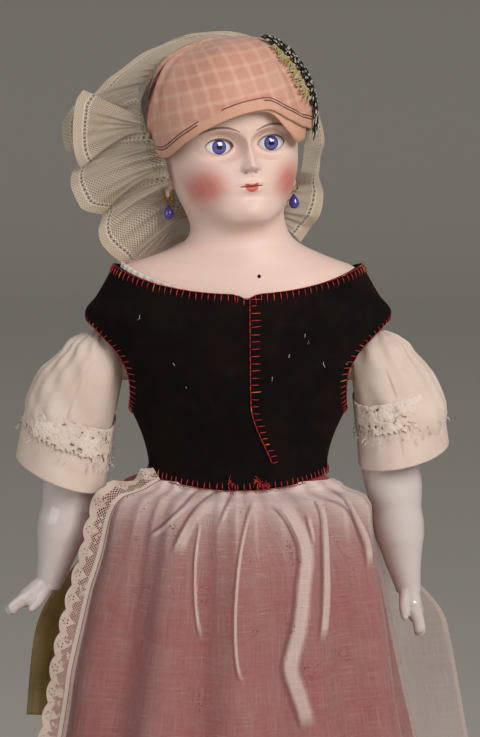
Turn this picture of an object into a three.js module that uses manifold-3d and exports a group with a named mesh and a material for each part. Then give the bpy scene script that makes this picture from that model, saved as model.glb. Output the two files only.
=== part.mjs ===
// Bisque shoulder-head doll in regional dress: a bisque head and shoulder plate on a stuffed cloth body,
// china lower arms, stitched limb hinges, leather boots and a full set of clothes.
// Millimetres, +Z up. The doll faces -Y, and +X is the doll's own left.
import * as THREE from "three";
import { mergeVertices } from "three/addons/utils/BufferGeometryUtils.js";
import Module from "manifold-3d";

const wasm = await Module();
wasm.setup();

// Heights above the floor
const kneeHeight = 138;
const hipHeight = 258;
const waistHeight = 352;
const waistToShoulder = 49;
const shoulderToPlateRim = 4;
const plateRimToNeck = 57;
const neckToEyes = 45;
const shoulderHeight = waistHeight + waistToShoulder;
const plateRimHeight = shoulderHeight + shoulderToPlateRim;
const neckHeight = plateRimHeight + plateRimToNeck;

// Clearances and thicknesses
const seat = 0.4;
const bisqueWall = 4;
const linen = 0.8;
const wool = 1.2;
const velvet = 1.6;
const silk = 1.3;
const net = 1;

// Stuffed body
const hipHalfWidth = 47;
const hipHalfDepth = 33;
const waistHalfWidth = 36;
const waistHalfDepth = 27;
const chestHalfWidth = 48;
const chestHalfDepth = 29;
const hipSeam = 5;
const kneeSeam = 4;
const legSpread = 23;

// Shoulder head
const plateHalfWidth = 64;
const plateHalfDepth = 34;
const headTurn = THREE.MathUtils.degToRad(15);
const headLean = THREE.MathUtils.degToRad(-4);
const crownOpening = 31;
const eyeSpacing = 12.7;
const eyeRadius = 8.6;
const eyeSetBack = 16.6;
const eyeOpenWidth = 13.4;
const eyeOpenHeight = 7.2;
const earHoleRadius = 1.05;
const earringWire = 0.45;
const earringRing = 2.3;
const beadLength = 7.6;
const beadRadius = 2.6;

// Arms
const armReach = 20;
const chinaNeck = 8;
const stubRadius = 8;
const elbowDrop = 40;
const armTilt = { left: THREE.MathUtils.degToRad(4.5), right: THREE.MathUtils.degToRad(9.5) };
const wristBend = { left: THREE.MathUtils.degToRad(9), right: THREE.MathUtils.degToRad(42) };
const wristDrop = 108;
const sleeveDrop = { left: 48, right: 57 };
const cuffTurnUp = 26.5;
const cuffTrim = 9;
const cuffRise = { left: 0.15, right: 0.2 };
const cuffDroop = 0.25;
const armholeRadius = 19;

// Skirts and apron
const skirtHem = 35;
const petticoatHem = 45;
const apronHem = 95;
const hemHalfWidth = 118;
const hemHalfDepth = 108;
const foldCount = 12;
const laceWidth = 11.5;
const tieWidth = 17;

// Boots
const soleThickness = 4;
const toeReach = 43;
const heelReach = 23;
const bootTop = 66;
const bootLeather = 2.2;

// A smooth curve through [position, value] pairs that never overshoots them.
function through(pairs) {
  const rise = pairs.slice(1).map(([x, y], i) => (y - pairs[i][1]) / (x - pairs[i][0]));
  const slope = pairs.map((_, i) => {
    if (i === 0) return rise[0];
    if (i === pairs.length - 1) return rise[i - 1];
    const [a, b] = [rise[i - 1], rise[i]];
    return a * b <= 0 ? 0 : (2 * a * b) / (a + b);
  });
  return (x) => {
    const last = pairs.length - 1;
    if (x <= pairs[0][0]) return pairs[0][1];
    if (x >= pairs[last][0]) return pairs[last][1];
    const i = pairs.findIndex(([p]) => p > x) - 1;
    const step = pairs[i + 1][0] - pairs[i][0];
    const t = (x - pairs[i][0]) / step;
    const [u, v] = [t * t * t, t * t];
    return (
      pairs[i][1] * (2 * u - 3 * v + 1) +
      slope[i] * step * (u - 2 * v + t) +
      pairs[i + 1][1] * (3 * v - 2 * u) +
      slope[i + 1] * step * (u - v)
    );
  };
}

const point = (x, y, z) => new THREE.Vector3(x, y, z);
const range = (count) => Array.from({ length: count }, (_, i) => i);
const mix = (a, b, t) => a + (b - a) * t;

// A closed oval of points round the Z axis, from the front (-Y) towards +X.
function oval(count, z, halfWidth, front, back = front, { x = 0, y = 0 } = {}) {
  return range(count).map((i) => {
    const angle = (2 * Math.PI * i) / count;
    const depth = Math.cos(angle) > 0 ? front : back;
    return point(x + halfWidth * Math.sin(angle), y - depth * Math.cos(angle), z);
  });
}

function geometryFrom(points, triangles) {
  const geometry = new THREE.BufferGeometry().setFromPoints(points);
  geometry.setIndex(triangles.flat());
  return geometry;
}

// A closed solid skinned over rings that are stacked upwards, with a flat or coned cap on each end.
function skin(rings) {
  const count = rings[0].length;
  const points = rings.flat();
  const triangles = [];
  for (const row of range(rings.length - 1)) {
    for (const i of range(count)) {
      const next = (i + 1) % count;
      const [a, b] = [row * count + i, row * count + next];
      triangles.push([a, b, b + count], [a, b + count, a + count]);
    }
  }
  const cap = (ring, offset, turn) => {
    const centre = ring.reduce((sum, p) => sum.add(p), point(0, 0, 0)).divideScalar(count);
    points.push(centre);
    const hub = points.length - 1;
    for (const i of range(count)) {
      const [a, b] = [offset + i, offset + ((i + 1) % count)];
      triangles.push(turn ? [hub, b, a] : [hub, a, b]);
    }
  };
  cap(rings[0], 0, true);
  cap(rings[rings.length - 1], (rings.length - 1) * count, false);
  return geometryFrom(points, triangles);
}

// A closed wall between an outer and an inner stack of rings, open at both ends.
function wall(outer, inner) {
  const count = outer[0].length;
  const loop = [...outer, ...inner.slice().reverse()];
  const points = loop.flat();
  const triangles = [];
  for (const row of range(loop.length)) {
    for (const i of range(count)) {
      const next = (i + 1) % count;
      const [a, b] = [row * count + i, row * count + next];
      const up = ((row + 1) % loop.length) * count;
      triangles.push([a, b, up + next], [a, up + next, up + i]);
    }
  }
  return geometryFrom(points, triangles);
}

// A closed sheet of even thickness over a grid of points. Its front is on the side of row x column.
function sheet(grid, thickness) {
  const [rows, columns] = [grid.length, grid[0].length];
  const at = (r, c) => grid[Math.min(Math.max(r, 0), rows - 1)][Math.min(Math.max(c, 0), columns - 1)];
  const normal = (r, c) => {
    const along = at(r, c + 1).clone().sub(at(r, c - 1));
    const across = at(r + 1, c).clone().sub(at(r - 1, c));
    return across.cross(along).normalize();
  };
  const side = (shift) =>
    range(rows).flatMap((r) =>
      range(columns).map((c) => at(r, c).clone().addScaledVector(normal(r, c), shift * thickness)),
    );
  const points = [...side(0.5), ...side(-0.5)];
  const back = rows * columns;
  const triangles = [];
  for (const r of range(rows - 1)) {
    for (const c of range(columns - 1)) {
      const a = r * columns + c;
      const [b, d, e] = [a + 1, a + columns, a + columns + 1];
      triangles.push([a, d, e], [a, e, b]);
      triangles.push([back + a, back + e, back + d], [back + a, back + b, back + e]);
    }
  }
  const edge = [
    ...range(columns - 1).map((c) => [c, c + 1]),
    ...range(rows - 1).map((r) => [r * columns + columns - 1, (r + 1) * columns + columns - 1]),
    ...range(columns - 1).map((c) => [(rows - 1) * columns + c + 1, (rows - 1) * columns + c]),
    ...range(rows - 1).map((r) => [(r + 1) * columns, r * columns]),
  ];
  for (const [a, b] of edge) triangles.push([a, b, back + b], [a, back + b, back + a]);
  return geometryFrom(points, triangles);
}

function tube(path, radius, sides, steps) {
  const section = new THREE.Shape(
    range(sides).map((i) => {
      const angle = (2 * Math.PI * i) / sides;
      return new THREE.Vector2(radius * Math.cos(angle), radius * Math.sin(angle));
    }),
  );
  return new THREE.ExtrudeGeometry(section, { steps, bevelEnabled: false, extrudePath: path });
}

// A turned solid: a profile of [radius, height] pairs from the axis to the axis, spun round +Z.
function turned(profile, sides) {
  const points = profile.map(([radius, height]) => new THREE.Vector2(radius, height));
  return new THREE.LatheGeometry(points, sides).rotateX(Math.PI / 2);
}

function rod(radius, length, sides) {
  return new THREE.CylinderGeometry(radius, radius, length, sides);
}

function ball(halfX, halfY, halfZ, across = 12, up = 8) {
  return new THREE.SphereGeometry(1, across, up).rotateX(Math.PI / 2).scale(halfX, halfY, halfZ);
}

// Joins and cuts of closed shapes.
function solid(geometry) {
  const bare = geometry.clone();
  bare.deleteAttribute("normal");
  bare.deleteAttribute("uv");
  const merged = mergeVertices(bare, 1e-4);
  return new wasm.Manifold(
    new wasm.Mesh({
      numProp: 3,
      vertProperties: new Float32Array(merged.attributes.position.array),
      triVerts: new Uint32Array(merged.index.array),
    }),
  );
}

function geometryOf(shape) {
  const made = shape.getMesh();
  return new THREE.BufferGeometry()
    .setAttribute("position", new THREE.BufferAttribute(made.vertProperties, 3))
    .setIndex(new THREE.BufferAttribute(made.triVerts, 1));
}

const cut = (geometry, ...tools) =>
  geometryOf(tools.reduce((shape, tool) => shape.subtract(solid(tool)), solid(geometry)));
const join = (geometry, ...more) =>
  geometryOf(more.reduce((shape, other) => shape.add(solid(other)), solid(geometry)));

// Finishes
const finish = (color, roughness, metalness = 0) =>
  new THREE.MeshStandardMaterial({ color, roughness, metalness });
const bisque = finish(0xe9d2c4, 0.55);
const china = finish(0xe8e4e2, 0.12);
const eyeGlass = finish(0x3a46a8, 0.05);
const plaster = finish(0xe6e0d4, 0.9);
const cork = finish(0xb08a5a, 0.95);
const mohair = finish(0x6b4a2e, 0.8);
const pinkSilk = finish(0xd99b84, 0.55);
const fringeSilk = finish(0x1c1a19, 0.6);
const ivoryNet = finish(0xd8ccb4, 0.85);
const calico = finish(0xd9cdb5, 0.9);
const creamCotton = finish(0xd9cbb4, 0.85);
const blackVelvet = finish(0x0e0c0c, 0.95);
const redWool = finish(0x8c2a2c, 0.9);
const whiteCotton = finish(0xe4ddd0, 0.9);
const sheerMuslin = finish(0xd8bdb4, 0.8);
const whiteLace = finish(0xe2d3c6, 0.85);
const goldSilk = finish(0x7a6230, 0.45);
const blackLeather = finish(0x1d1714, 0.4);
const soleLeather = finish(0x5a3d26, 0.7);
const brassWire = finish(0xb08d3e, 0.3, 1);
const blueBead = finish(0x2a2a78, 0.08);
const thread = finish(0xcfc4ae, 0.8);

const doll = new THREE.Group();
function place(group, name, geometry, material) {
  const mesh = new THREE.Mesh(geometry, material);
  mesh.name = name;
  group.add(mesh);
  return mesh;
}

// Stuffed torso: waisted, flat under the hips where the legs are stitched on, and narrow under the plate.
const torsoFoot = hipHeight + hipSeam + seat;
const plateSeatDepth = plateHalfDepth - bisqueWall - seat;
const torsoHalfWidth = through([
  [torsoFoot, hipHalfWidth - 8],
  [torsoFoot + 10, hipHalfWidth - 2],
  [mix(torsoFoot, waistHeight, 0.4), hipHalfWidth],
  [waistHeight - 10, waistHalfWidth],
  [waistHeight + 4, waistHalfWidth],
  [shoulderHeight, chestHalfWidth],
  [plateRimHeight + 14, chestHalfWidth],
  [plateRimHeight + 33, chestHalfWidth - 7],
  [plateRimHeight + 40, chestHalfWidth - 17],
]);
const torsoHalfDepth = through([
  [torsoFoot, hipHalfDepth - 14],
  [torsoFoot + 10, hipHalfDepth - 4],
  [mix(torsoFoot, waistHeight, 0.4), hipHalfDepth],
  [waistHeight - 10, waistHalfDepth],
  [waistHeight + 4, waistHalfDepth],
  [shoulderHeight - 6, chestHalfDepth],
  [plateRimHeight + 1, plateSeatDepth],
  [plateRimHeight + 16, chestHalfDepth - 3],
  [plateRimHeight + 33, chestHalfDepth - 11],
  [plateRimHeight + 40, chestHalfDepth - 16],
]);
const torsoLevels = [torsoFoot, torsoFoot + 10, ...[0.4, 0.7].map((t) => mix(torsoFoot, waistHeight, t))];
torsoLevels.push(waistHeight - 10, waistHeight + 4, mix(waistHeight, shoulderHeight, 0.5), shoulderHeight);
torsoLevels.push(...[6, 16, 26, 34, 40].map((up) => plateRimHeight + up));
place(doll, "torso", skin(torsoLevels.map((z) => oval(16, z, torsoHalfWidth(z), torsoHalfDepth(z)))), calico);

// Head outline in its own frame: half width, front and back of the plain oval against height above the eyes.
const neckHalfWidth = 22;
const headHalfWidth = through([
  [-40, neckHalfWidth], [-36, 22.8], [-30, 24.8], [-20, 28.7], [-10, 31.1], [0, 31.7], [12, 32.3], [22, 32],
  [30, 29], [36, 24.5], [41, 17], [45.5, 2],
]);
const headFront = through([
  [-40, 21.5], [-38.5, 25], [-37, 28.6], [-35, 30.8], [-31, 31.6], [-24, 31.4], [-18, 31.8], [-8, 31.6],
  [0, 31.2], [8, 32.4], [18, 33], [26, 31], [33, 26.5], [39, 19], [45.5, 2],
]);
const headBack = through([
  [-40, 22.5], [-30, 27], [-15, 33], [0, 38], [15, 41], [25, 40], [33, 34], [39, 25], [45.5, 2],
]);
const noseHeight = through([[-13.6, 0], [-12.4, 4.6], [-10.6, 6.2], [-8, 5.2], [-3, 2.8], [3, 1.2], [9, 0]]);
const noseHalfWidth = through([[-13, 3.6], [-9, 3], [-3, 2.1], [6, 2.6]]);

// How far the modelled face stands out of the plain oval, at x across and z above the eyes.
function faceRelief(x, z) {
  const swell = (cx, cz, halfX, halfZ, out) =>
    out * Math.exp(-(((x - cx) / halfX) ** 2) - ((z - cz) / halfZ) ** 2);
  const onBothSides = (cx, ...rest) => swell(cx, ...rest) + swell(-cx, ...rest);
  const nose = noseHeight(z) * Math.exp(-((x / noseHalfWidth(z)) ** 2));
  const sockets = onBothSides(eyeSpacing, 0.5, 8.5, 5.5, -2.6);
  const cheeks = onBothSides(17, -15, 9, 8, 1.6);
  const lips = swell(0, -17.6, 5.2, 1.5, 1.3) + swell(0, -20.4, 4.2, 1.6, 1.5);
  const chin = swell(0, -31, 7, 5, 2.2);
  return nose + sockets + cheeks + lips + chin;
}

// Angles round the head, closer together at the face.
const faceAngles = range(30).map((i) => {
  const even = (2 * Math.PI * i) / 30;
  return even - 0.6 * Math.sin(even);
});
const plainAngles = range(14).map((i) => (2 * Math.PI * i) / 14);
const headLevels = [-40, -38, -35.5, -31, -25, -21, -19, -17, -14, -12.5, -10.5, -7, -3, 1, 6, 13, 22,
  crownOpening];
const hollowLevels = [-36, -22, 0, 16, crownOpening];

function headRing(z, inset, angles) {
  return angles.map((angle) => {
    const depth = Math.cos(angle) > 0 ? headFront(z) : headBack(z);
    const x = (headHalfWidth(z) - inset) * Math.sin(angle);
    const y = -(depth - inset) * Math.cos(angle);
    const out = inset === 0 && Math.cos(angle) > 0 ? faceRelief(x, z) * Math.cos(angle) ** 0.5 : 0;
    return point(x, y - out, z + neckToEyes);
  });
}

// Shoulder plate rings: [front height, side height, half width, half depth] above the neck pivot.
const plateRings = [
  [-plateRimToNeck, 23 - plateRimToNeck, plateHalfWidth - 0.5, plateHalfDepth - 0.5],
  [10 - plateRimToNeck, 29 - plateRimToNeck, plateHalfWidth, plateHalfDepth],
  [23 - plateRimToNeck, 36 - plateRimToNeck, plateHalfWidth - 2, plateHalfDepth - 1.5],
  [35 - plateRimToNeck, 42.5 - plateRimToNeck, plateHalfWidth - 8, plateHalfDepth - 4.8],
  [44 - plateRimToNeck, 47.5 - plateRimToNeck, plateHalfWidth - 21, plateHalfDepth - 8.6],
  [-5.5, -4.5, 31, 23.4],
  [-1, -0.5, neckHalfWidth + 1.5, 21.6],
];
function plateRing([frontZ, sideZ, halfWidth, halfDepth], inset, angles) {
  return angles.map((angle) => {
    const sideways = Math.sin(angle) ** 2;
    return point(
      (halfWidth - inset) * Math.sin(angle),
      -(halfDepth - inset) * Math.cos(angle),
      mix(frontZ, sideZ, sideways) - 0.8 * inset,
    );
  });
}

// The head is turned and leans on its neck, so rings above the plate take a growing share of that turn.
const neckPivot = point(0, 0, neckHeight);
function turnedBy(share, ring) {
  const matrix = new THREE.Matrix4()
    .makeRotationFromEuler(new THREE.Euler(0, headLean * share, headTurn * share, "ZYX"))
    .setPosition(neckPivot);
  return ring.map((p) => p.clone().applyMatrix4(matrix));
}
const turnShares = [0, 0, 0, 0, 0.05, 0.25, 0.6];

function shoulderHeadRings(inset, levels, angles) {
  const plate = plateRings.map((ring, i) => turnedBy(turnShares[i], plateRing(ring, inset, angles)));
  const head = levels.map((z) => turnedBy(1, headRing(z, inset, angles)));
  return [...plate, ...head];
}

const headFrame = new THREE.Group();
headFrame.position.copy(neckPivot);
headFrame.rotation.set(0, headLean, headTurn, "ZYX");
const eyeLevel = new THREE.Group();
eyeLevel.position.z = neckToEyes;
headFrame.add(eyeLevel);
doll.add(headFrame);
headFrame.updateMatrixWorld(true);
const toHead = eyeLevel.matrixWorld;

// The almond outline of one eye opening, as a prism along Y.
function eyeOpening(side) {
  const [halfWidth, halfHeight] = [(side * eyeOpenWidth) / 2, eyeOpenHeight / 2];
  const almond = new THREE.Shape();
  almond.moveTo(-halfWidth, 0);
  almond.quadraticCurveTo(-halfWidth * 0.45, halfHeight * 1.35, halfWidth * 0.2, halfHeight * 0.97);
  almond.quadraticCurveTo(halfWidth * 0.72, halfHeight * 0.72, halfWidth, 0);
  almond.quadraticCurveTo(halfWidth * 0.35, -halfHeight * 1.5, -halfWidth * 0.35, -halfHeight * 0.92);
  almond.quadraticCurveTo(-halfWidth * 0.75, -halfHeight * 0.55, -halfWidth, 0);
  const prism = new THREE.ExtrudeGeometry(almond, { depth: 30, bevelEnabled: false, curveSegments: 4 });
  return prism.rotateX(Math.PI / 2).translate(side * eyeSpacing, -14, 0);
}

// The hollow behind the opening that the glass eye beds into.
function eyeSocket(side) {
  const radius = eyeRadius + 2.5 * seat;
  return ball(radius, radius, radius, 11, 7).translate(side * eyeSpacing, -eyeSetBack, 0);
}

// One bisque casting: plate, neck, face, ears and an open crown, hollow, with sew holes through the plate.
const earDepth = 8;
const headSide = (z) => headHalfWidth(z) * Math.sqrt(1 - (earDepth / headBack(z)) ** 2);
const earX = headSide(-20) + earringRing + earringWire + seat + 0.4;
const earHoleHeight = -21.5;
function ear(side) {
  const shell = ball(3, 6, 10, 7, 5).translate(side * (headSide(-12) + 0.6), earDepth + 1, -12);
  const lobe = ball(1.3, 2.8, 3.2, 6, 5).translate(side * earX, earDepth, -20.7);
  const root = ball(3, 2.4, 2.6, 6, 4).translate(side * (earX - 2), earDepth, -17.6);
  return join(shell, lobe, root);
}
const earHole = (side) =>
  rod(earHoleRadius, 6, 6).rotateZ(Math.PI / 2).translate(side * (earX + 0.6), earDepth, earHoleHeight);
const intoHead = (geometry) => geometry.applyMatrix4(toHead);
const inside = shoulderHeadRings(bisqueWall, hollowLevels, plainAngles);
const belowPlate = inside[0].map((p) => point(p.x, p.y, plateRimHeight - 20));
const aboveCrown = inside[inside.length - 1].map((p) => point(p.x, p.y, p.z + 20));
const sewHoles = [-1, 1].flatMap((x) =>
  [-1, 1].map((y) =>
    rod(1.1, 14, 6).translate(x * 14, y * (plateHalfDepth - 2), plateRimHeight + 9),
  ),
);
const ears = [-1, 1].map((side) => intoHead(ear(side)));
const bisqueBody = join(skin(shoulderHeadRings(0, headLevels, faceAngles)), ...ears);
const shoulderHead = cut(
  bisqueBody,
  skin([belowPlate, ...inside, aboveCrown]),
  ...[-1, 1].flatMap((side) => [eyeOpening(side), eyeSocket(side), earHole(side)].map(intoHead)),
  ...sewHoles,
);
place(doll, "shoulder_head", shoulderHead, bisque);

// Blown glass eyes, each a bulb with a drawn stem, bedded in plaster behind the face.
function glassEye() {
  const r = eyeRadius;
  const bulb = [[0, -r], [0.38 * r, -0.92 * r], [0.71 * r, -0.71 * r], [0.92 * r, -0.38 * r], [r, 0],
    [0.92 * r, 0.38 * r], [0.71 * r, 0.71 * r], [0.2 * r, 0.98 * r], [0.18 * r, 1.2 * r], [0, 1.2 * r]];
  return turned(bulb, 12).rotateX(-Math.PI / 2);
}
for (const [name, side] of [["right", -1], ["left", 1]]) {
  const eye = glassEye().translate(side * eyeSpacing, -eyeSetBack, 0);
  place(eyeLevel, `eye_${name}`, eye, eyeGlass);
}

// Plaster bar that holds both eyes from behind, across the inside of the face.
const stemRadius = 0.18 * eyeRadius;
const barBack = eyeRadius * 1.2 - eyeSetBack;
const plasterBar = new THREE.BoxGeometry(2 * (eyeSpacing + 10), 9, 9).translate(0, barBack - 4.5 + 4, 0);
const barHollows = [-1, 1].flatMap((side) => [
  eyeSocket(side),
  rod(stemRadius + seat, 8, 10).translate(side * eyeSpacing, barBack - 4 + seat, 0),
]);
place(eyeLevel, "eye_plaster", cut(plasterBar, ...barHollows), plaster);

// A dome round the head: half sizes across, to the front, to the back and up, from its own centre height.
const domeHeight = 12;
function domePoint(dome, round, lift) {
  const depth = Math.cos(round) > 0 ? dome.front : dome.back;
  return point(
    dome.side * Math.sin(round) * Math.cos(lift),
    -depth * Math.cos(round) * Math.cos(lift),
    domeHeight + dome.up * Math.sin(lift),
  );
}
const grown = (dome, by) =>
  Object.fromEntries(Object.entries(dome).map(([key, size]) => [key, size + by]));
const wigInside = { side: 35.2, front: 35.4, back: 44.6, up: 38 };
const wigDepth = 2;
const scarfInside = grown(wigInside, wigDepth + 3 * seat);
const scarfOutside = grown(scarfInside, silk);

// Rings of a dome from its lower edge, given by height against the angle round the head, to near the top.
function domeRings(dome, edgeHeight, sides, rows) {
  const topLift = THREE.MathUtils.degToRad(84);
  return range(rows + 1).map((row) =>
    range(sides).map((i) => {
      const round = (2 * Math.PI * i) / sides;
      const degrees = THREE.MathUtils.radToDeg(round);
      const edge = edgeHeight(degrees > 180 ? degrees - 360 : degrees);
      const low = Math.asin((edge - domeHeight) / dome.up);
      return domePoint(dome, round, mix(low, topLift, row / rows));
    }),
  );
}
function domeShell(inner, outer, edgeHeight, sides, rows) {
  const lowest = (rings) => rings[0].map((p) => point(p.x, p.y, p.z - 30));
  const within = domeRings(inner, edgeHeight, sides, rows);
  const over = domeRings(outer, edgeHeight, sides, rows);
  return cut(skin(over), skin([lowest(within), ...within]));
}

// Cork pate in the crown, mohair wig over it, and the kerchief over the wig.
const pateLevels = [crownOpening + seat, 36, 41, 44.5];
place(eyeLevel, "crown_pate", skin(pateLevels.map((z) =>
  oval(24, z, headHalfWidth(z), headFront(z), headBack(z)))), cork);
const hairline = through([[-180, -4], [-110, 2], [-60, 14], [0, 26], [60, 14], [110, 2], [180, -4]]);
place(eyeLevel, "wig", domeShell(wigInside, grown(wigInside, wigDepth), hairline, 20, 4), mohair);
const scarfEdge = through([
  [-180, 0], [-110, 0], [-76, -4], [-46, 4], [-33, 8.5], [-2, 15.5], [12, 16], [30, 7], [48, 2], [90, 1], [180, 0],
]);
place(eyeLevel, "head_scarf", domeShell(scarfInside, scarfOutside, scarfEdge, 30, 5), pinkSilk);

// Net cap: a soft bag behind the head, open towards the face, hanging to the nape.
const capLevels = [-36, -24, -8, 8, 22, 34, 43];
const capHalfWidth = through([[-36, 30], [-20, 35.5], [0, 40.6], [15, 42], [30, 38.6], [43, 28.2]]);
const capBack = through([[-36, 38], [-20, 45], [0, 52], [15, 54], [30, 49], [43, 38]]);
const capHalfSweep = through([[-36, 62], [-10, 68], [15, 76], [43, 84]]);
const capColumns = 16;
const capGrid = capLevels.map((z) =>
  range(capColumns + 1).map((c) => {
    const swing = THREE.MathUtils.degToRad(mix(-capHalfSweep(z), capHalfSweep(z), c / capColumns));
    return point(capHalfWidth(z) * Math.sin(swing), capBack(z) * Math.cos(swing), z);
  }),
);
place(eyeLevel, "net_cap", sheet(capGrid, net), ivoryNet);

// Fluted ruffle: a gathered frill standing out round the cap, from one side of the neck to the other.
const ruffleSweep = 138;
const ruffleFlutes = 9;
const ruffleWidth = through([
  [-138, 31], [-116, 30], [-96, 39], [-84, 38], [-66, 28], [-50, 22], [-33, 16], [-20, 12], [-8, 6], [30, 5],
  [70, 6], [90, 8], [118, 13], [138, 14],
]);
const fluteDepth = through([[-138, 9], [-90, 12], [-60, 10], [-10, 3], [30, 3], [80, 4], [138, 5]]);
function rufflePoint(sweep, across) {
  const round = THREE.MathUtils.degToRad(sweep);
  const lean = THREE.MathUtils.degToRad(THREE.MathUtils.clamp(sweep, -124, 112));
  const width = ruffleWidth(sweep) * across;
  const wave = Math.sin((ruffleFlutes * 2 * Math.PI * (sweep + ruffleSweep)) / (2 * ruffleSweep));
  return point(
    43.4 * Math.sin(round) + width * Math.sin(lean),
    15 + 12 * Math.cos(round / 2) ** 2 + 0.12 * width + fluteDepth(sweep) * across * wave,
    2 + 47.6 * Math.cos(round) + width * Math.cos(lean),
  );
}
const ruffleColumns = ruffleFlutes * 6;
const ruffleGrid = [0, 0.5, 1].map((across) =>
  range(ruffleColumns + 1).map((c) => rufflePoint(mix(-ruffleSweep, ruffleSweep, c / ruffleColumns), across)),
);
place(eyeLevel, "cap_ruffle", sheet(ruffleGrid, net), ivoryNet);

// Knotted fringe along the kerchief's edge on the doll's left: a heading with strands hanging from it.
const fringeStrands = 9;
const fringeTurn = through([[0, 66], [1, 52]]);
function fringeRoot(t, out) {
  const round = THREE.MathUtils.degToRad(fringeTurn(t));
  return domePoint(grown(scarfOutside, seat + out), round, THREE.MathUtils.degToRad(mix(4, 62, t)));
}
const fringeGrid = [0, 1].map((r) =>
  range(9).map((c) => fringeRoot(c / 8, net / 2).add(point(2.4 * r, 1.2 * r, 0))),
);
const strands = range(fringeStrands).map((i) => {
  const root = fringeRoot((i + 0.5) / fringeStrands, net / 2);
  const tip = fringeRoot((i + 0.5) / fringeStrands - 0.2, 3.4 + 0.8 * Math.sin(i * 2.4));
  const start = root.clone().lerp(tip, 0.12);
  return tube(new THREE.LineCurve3(start, tip), 0.7, 3, 1);
});
place(eyeLevel, "scarf_fringe", join(sheet(fringeGrid, net), ...strands), fringeSilk);

// Drop earrings: a wire ring through each pierced lobe with a glass bead on it.
function earringRingPath(side) {
  const centre = point(side * earX, earDepth, earHoleHeight - earringRing);
  const points = range(13).map((i) => {
    const angle = Math.PI * 0.5 + mix(-0.94, 0.94, i / 12) * Math.PI;
    return centre.clone().add(point(earringRing * Math.cos(angle), 0, earringRing * Math.sin(angle)));
  });
  return new THREE.CatmullRomCurve3(points);
}
for (const [name, side] of [["right", -1], ["left", 1]]) {
  place(eyeLevel, `earring_hook_${name}`, tube(earringRingPath(side), earringWire, 5, 14), brassWire);
  const top = earHoleHeight - 2 * earringRing - earringWire - seat;
  const bead = turned(
    [[0, -beadLength], [0.6 * beadRadius, -0.93 * beadLength], [beadRadius, -0.65 * beadLength],
      [0.75 * beadRadius, -0.35 * beadLength], [0.25 * beadRadius, -0.08 * beadLength], [0, 0]],
    10,
  );
  place(eyeLevel, `earring_bead_${name}`, bead.translate(side * earX, earDepth, top), blueBead);
}

// Clothing layers over the body, each one outside the last.
const blouseInside = seat;
const petticoatInside = blouseInside + linen + seat;
const skirtInside = petticoatInside + linen + seat;
const apronInside = skirtInside + wool + seat;
const bodiceInside = apronInside + linen + seat;
const bodiceOutside = bodiceInside + velvet;

// The cap of the armhole: what has to stay open for the sleeve to swing round the shoulder hinge.
const jointX = chestHalfWidth + seat + armReach;
function armholes(radius) {
  return [-1, 1].map((side) =>
    turned([[0, -17], [radius, -17], [radius + 2, 24], [0, 24]], 16)
      .rotateY((side * Math.PI) / 2)
      .translate(side * jointX, 0, shoulderHeight),
  );
}

// Bodice outline: half width and half depth of its outer face against height.
const necklineFront = plateRimHeight + 32;
const necklineSide = plateRimHeight + 44;
const shoulderTip = plateRimHeight + 20;
const bodiceHem = waistHeight - 8;
const bodiceHalfWidth = through([
  [bodiceHem, waistHalfWidth + bodiceOutside + 0.5],
  [waistHeight, waistHalfWidth + bodiceOutside],
  [shoulderHeight - 6, plateHalfWidth - 4],
  [shoulderTip - 6, plateHalfWidth + 7.5],
  [shoulderTip + 1, plateHalfWidth + 9.5],
  [shoulderTip + 9, plateHalfWidth + 4],
  [necklineSide, plateHalfWidth - 4.5],
]);
const bodiceHalfDepth = through([
  [bodiceHem, waistHalfDepth + bodiceOutside + 0.5],
  [waistHeight, waistHalfDepth + bodiceOutside],
  [shoulderHeight - 6, plateHalfDepth + 6],
  [shoulderTip - 6, plateHalfDepth + 6],
  [shoulderTip + 6, plateHalfDepth + 3.5],
  [necklineFront + 3, plateHalfDepth + 0.6],
  [necklineSide, plateHalfDepth - 1],
]);
// Each ring runs level at the waist and rises more and more at the sides towards the boat neckline.
function bodiceRing(share, inset) {
  const count = 28;
  return range(count).map((i) => {
    const angle = (2 * Math.PI * i) / count;
    const sideways = Math.sin(angle) ** 2;
    const z = mix(bodiceHem + 5 * sideways, mix(necklineFront, necklineSide, sideways), share);
    return point(
      (bodiceHalfWidth(z) - inset) * Math.sin(angle),
      -(bodiceHalfDepth(z) - inset) * Math.cos(angle),
      z,
    );
  });
}
const bodiceShares = [0, 0.12, 0.42, 0.64, 0.78, 0.88, 1];
const bodiceShell = wall(
  bodiceShares.map((share) => bodiceRing(share, 0)),
  bodiceShares.map((share) => bodiceRing(share, velvet)),
);
place(doll, "bodice", cut(bodiceShell, ...armholes(armholeRadius)), blackVelvet);

// Blouse body between the stuffed torso and the bodice, up over the plate's lower edge.
const blouseTop = plateRimHeight + 14;
const blouseHalfWidth = (z) => Math.min(
  through([[waistHeight, waistHalfWidth + blouseInside + linen], [shoulderHeight - 12, chestHalfWidth + 4],
    [plateRimHeight, plateHalfWidth + 2.5], [blouseTop, plateHalfWidth + 2.5]])(z),
  bodiceHalfWidth(z) - velvet - seat,
);
const blouseHalfDepth = through([
  [waistHeight, waistHalfDepth + blouseInside + linen],
  [shoulderHeight - 8, plateHalfDepth + 0.6],
  [plateRimHeight, plateHalfDepth + 1.5 * seat + linen],
  [blouseTop, plateHalfDepth + 1.5 * seat + linen],
]);
const blouseFoot = waistHeight + 6;
const blouseLevels = [blouseFoot, mix(blouseFoot, shoulderHeight, 0.5), shoulderHeight - 8, plateRimHeight,
  blouseTop];
const blouseShell = wall(
  blouseLevels.map((z) => oval(22, z, blouseHalfWidth(z), blouseHalfDepth(z))),
  blouseLevels.map((z) => oval(22, z, blouseHalfWidth(z) - linen, blouseHalfDepth(z) - linen)),
);
place(doll, "blouse_body", cut(blouseShell, ...armholes(armholeRadius)), creamCotton);

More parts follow.
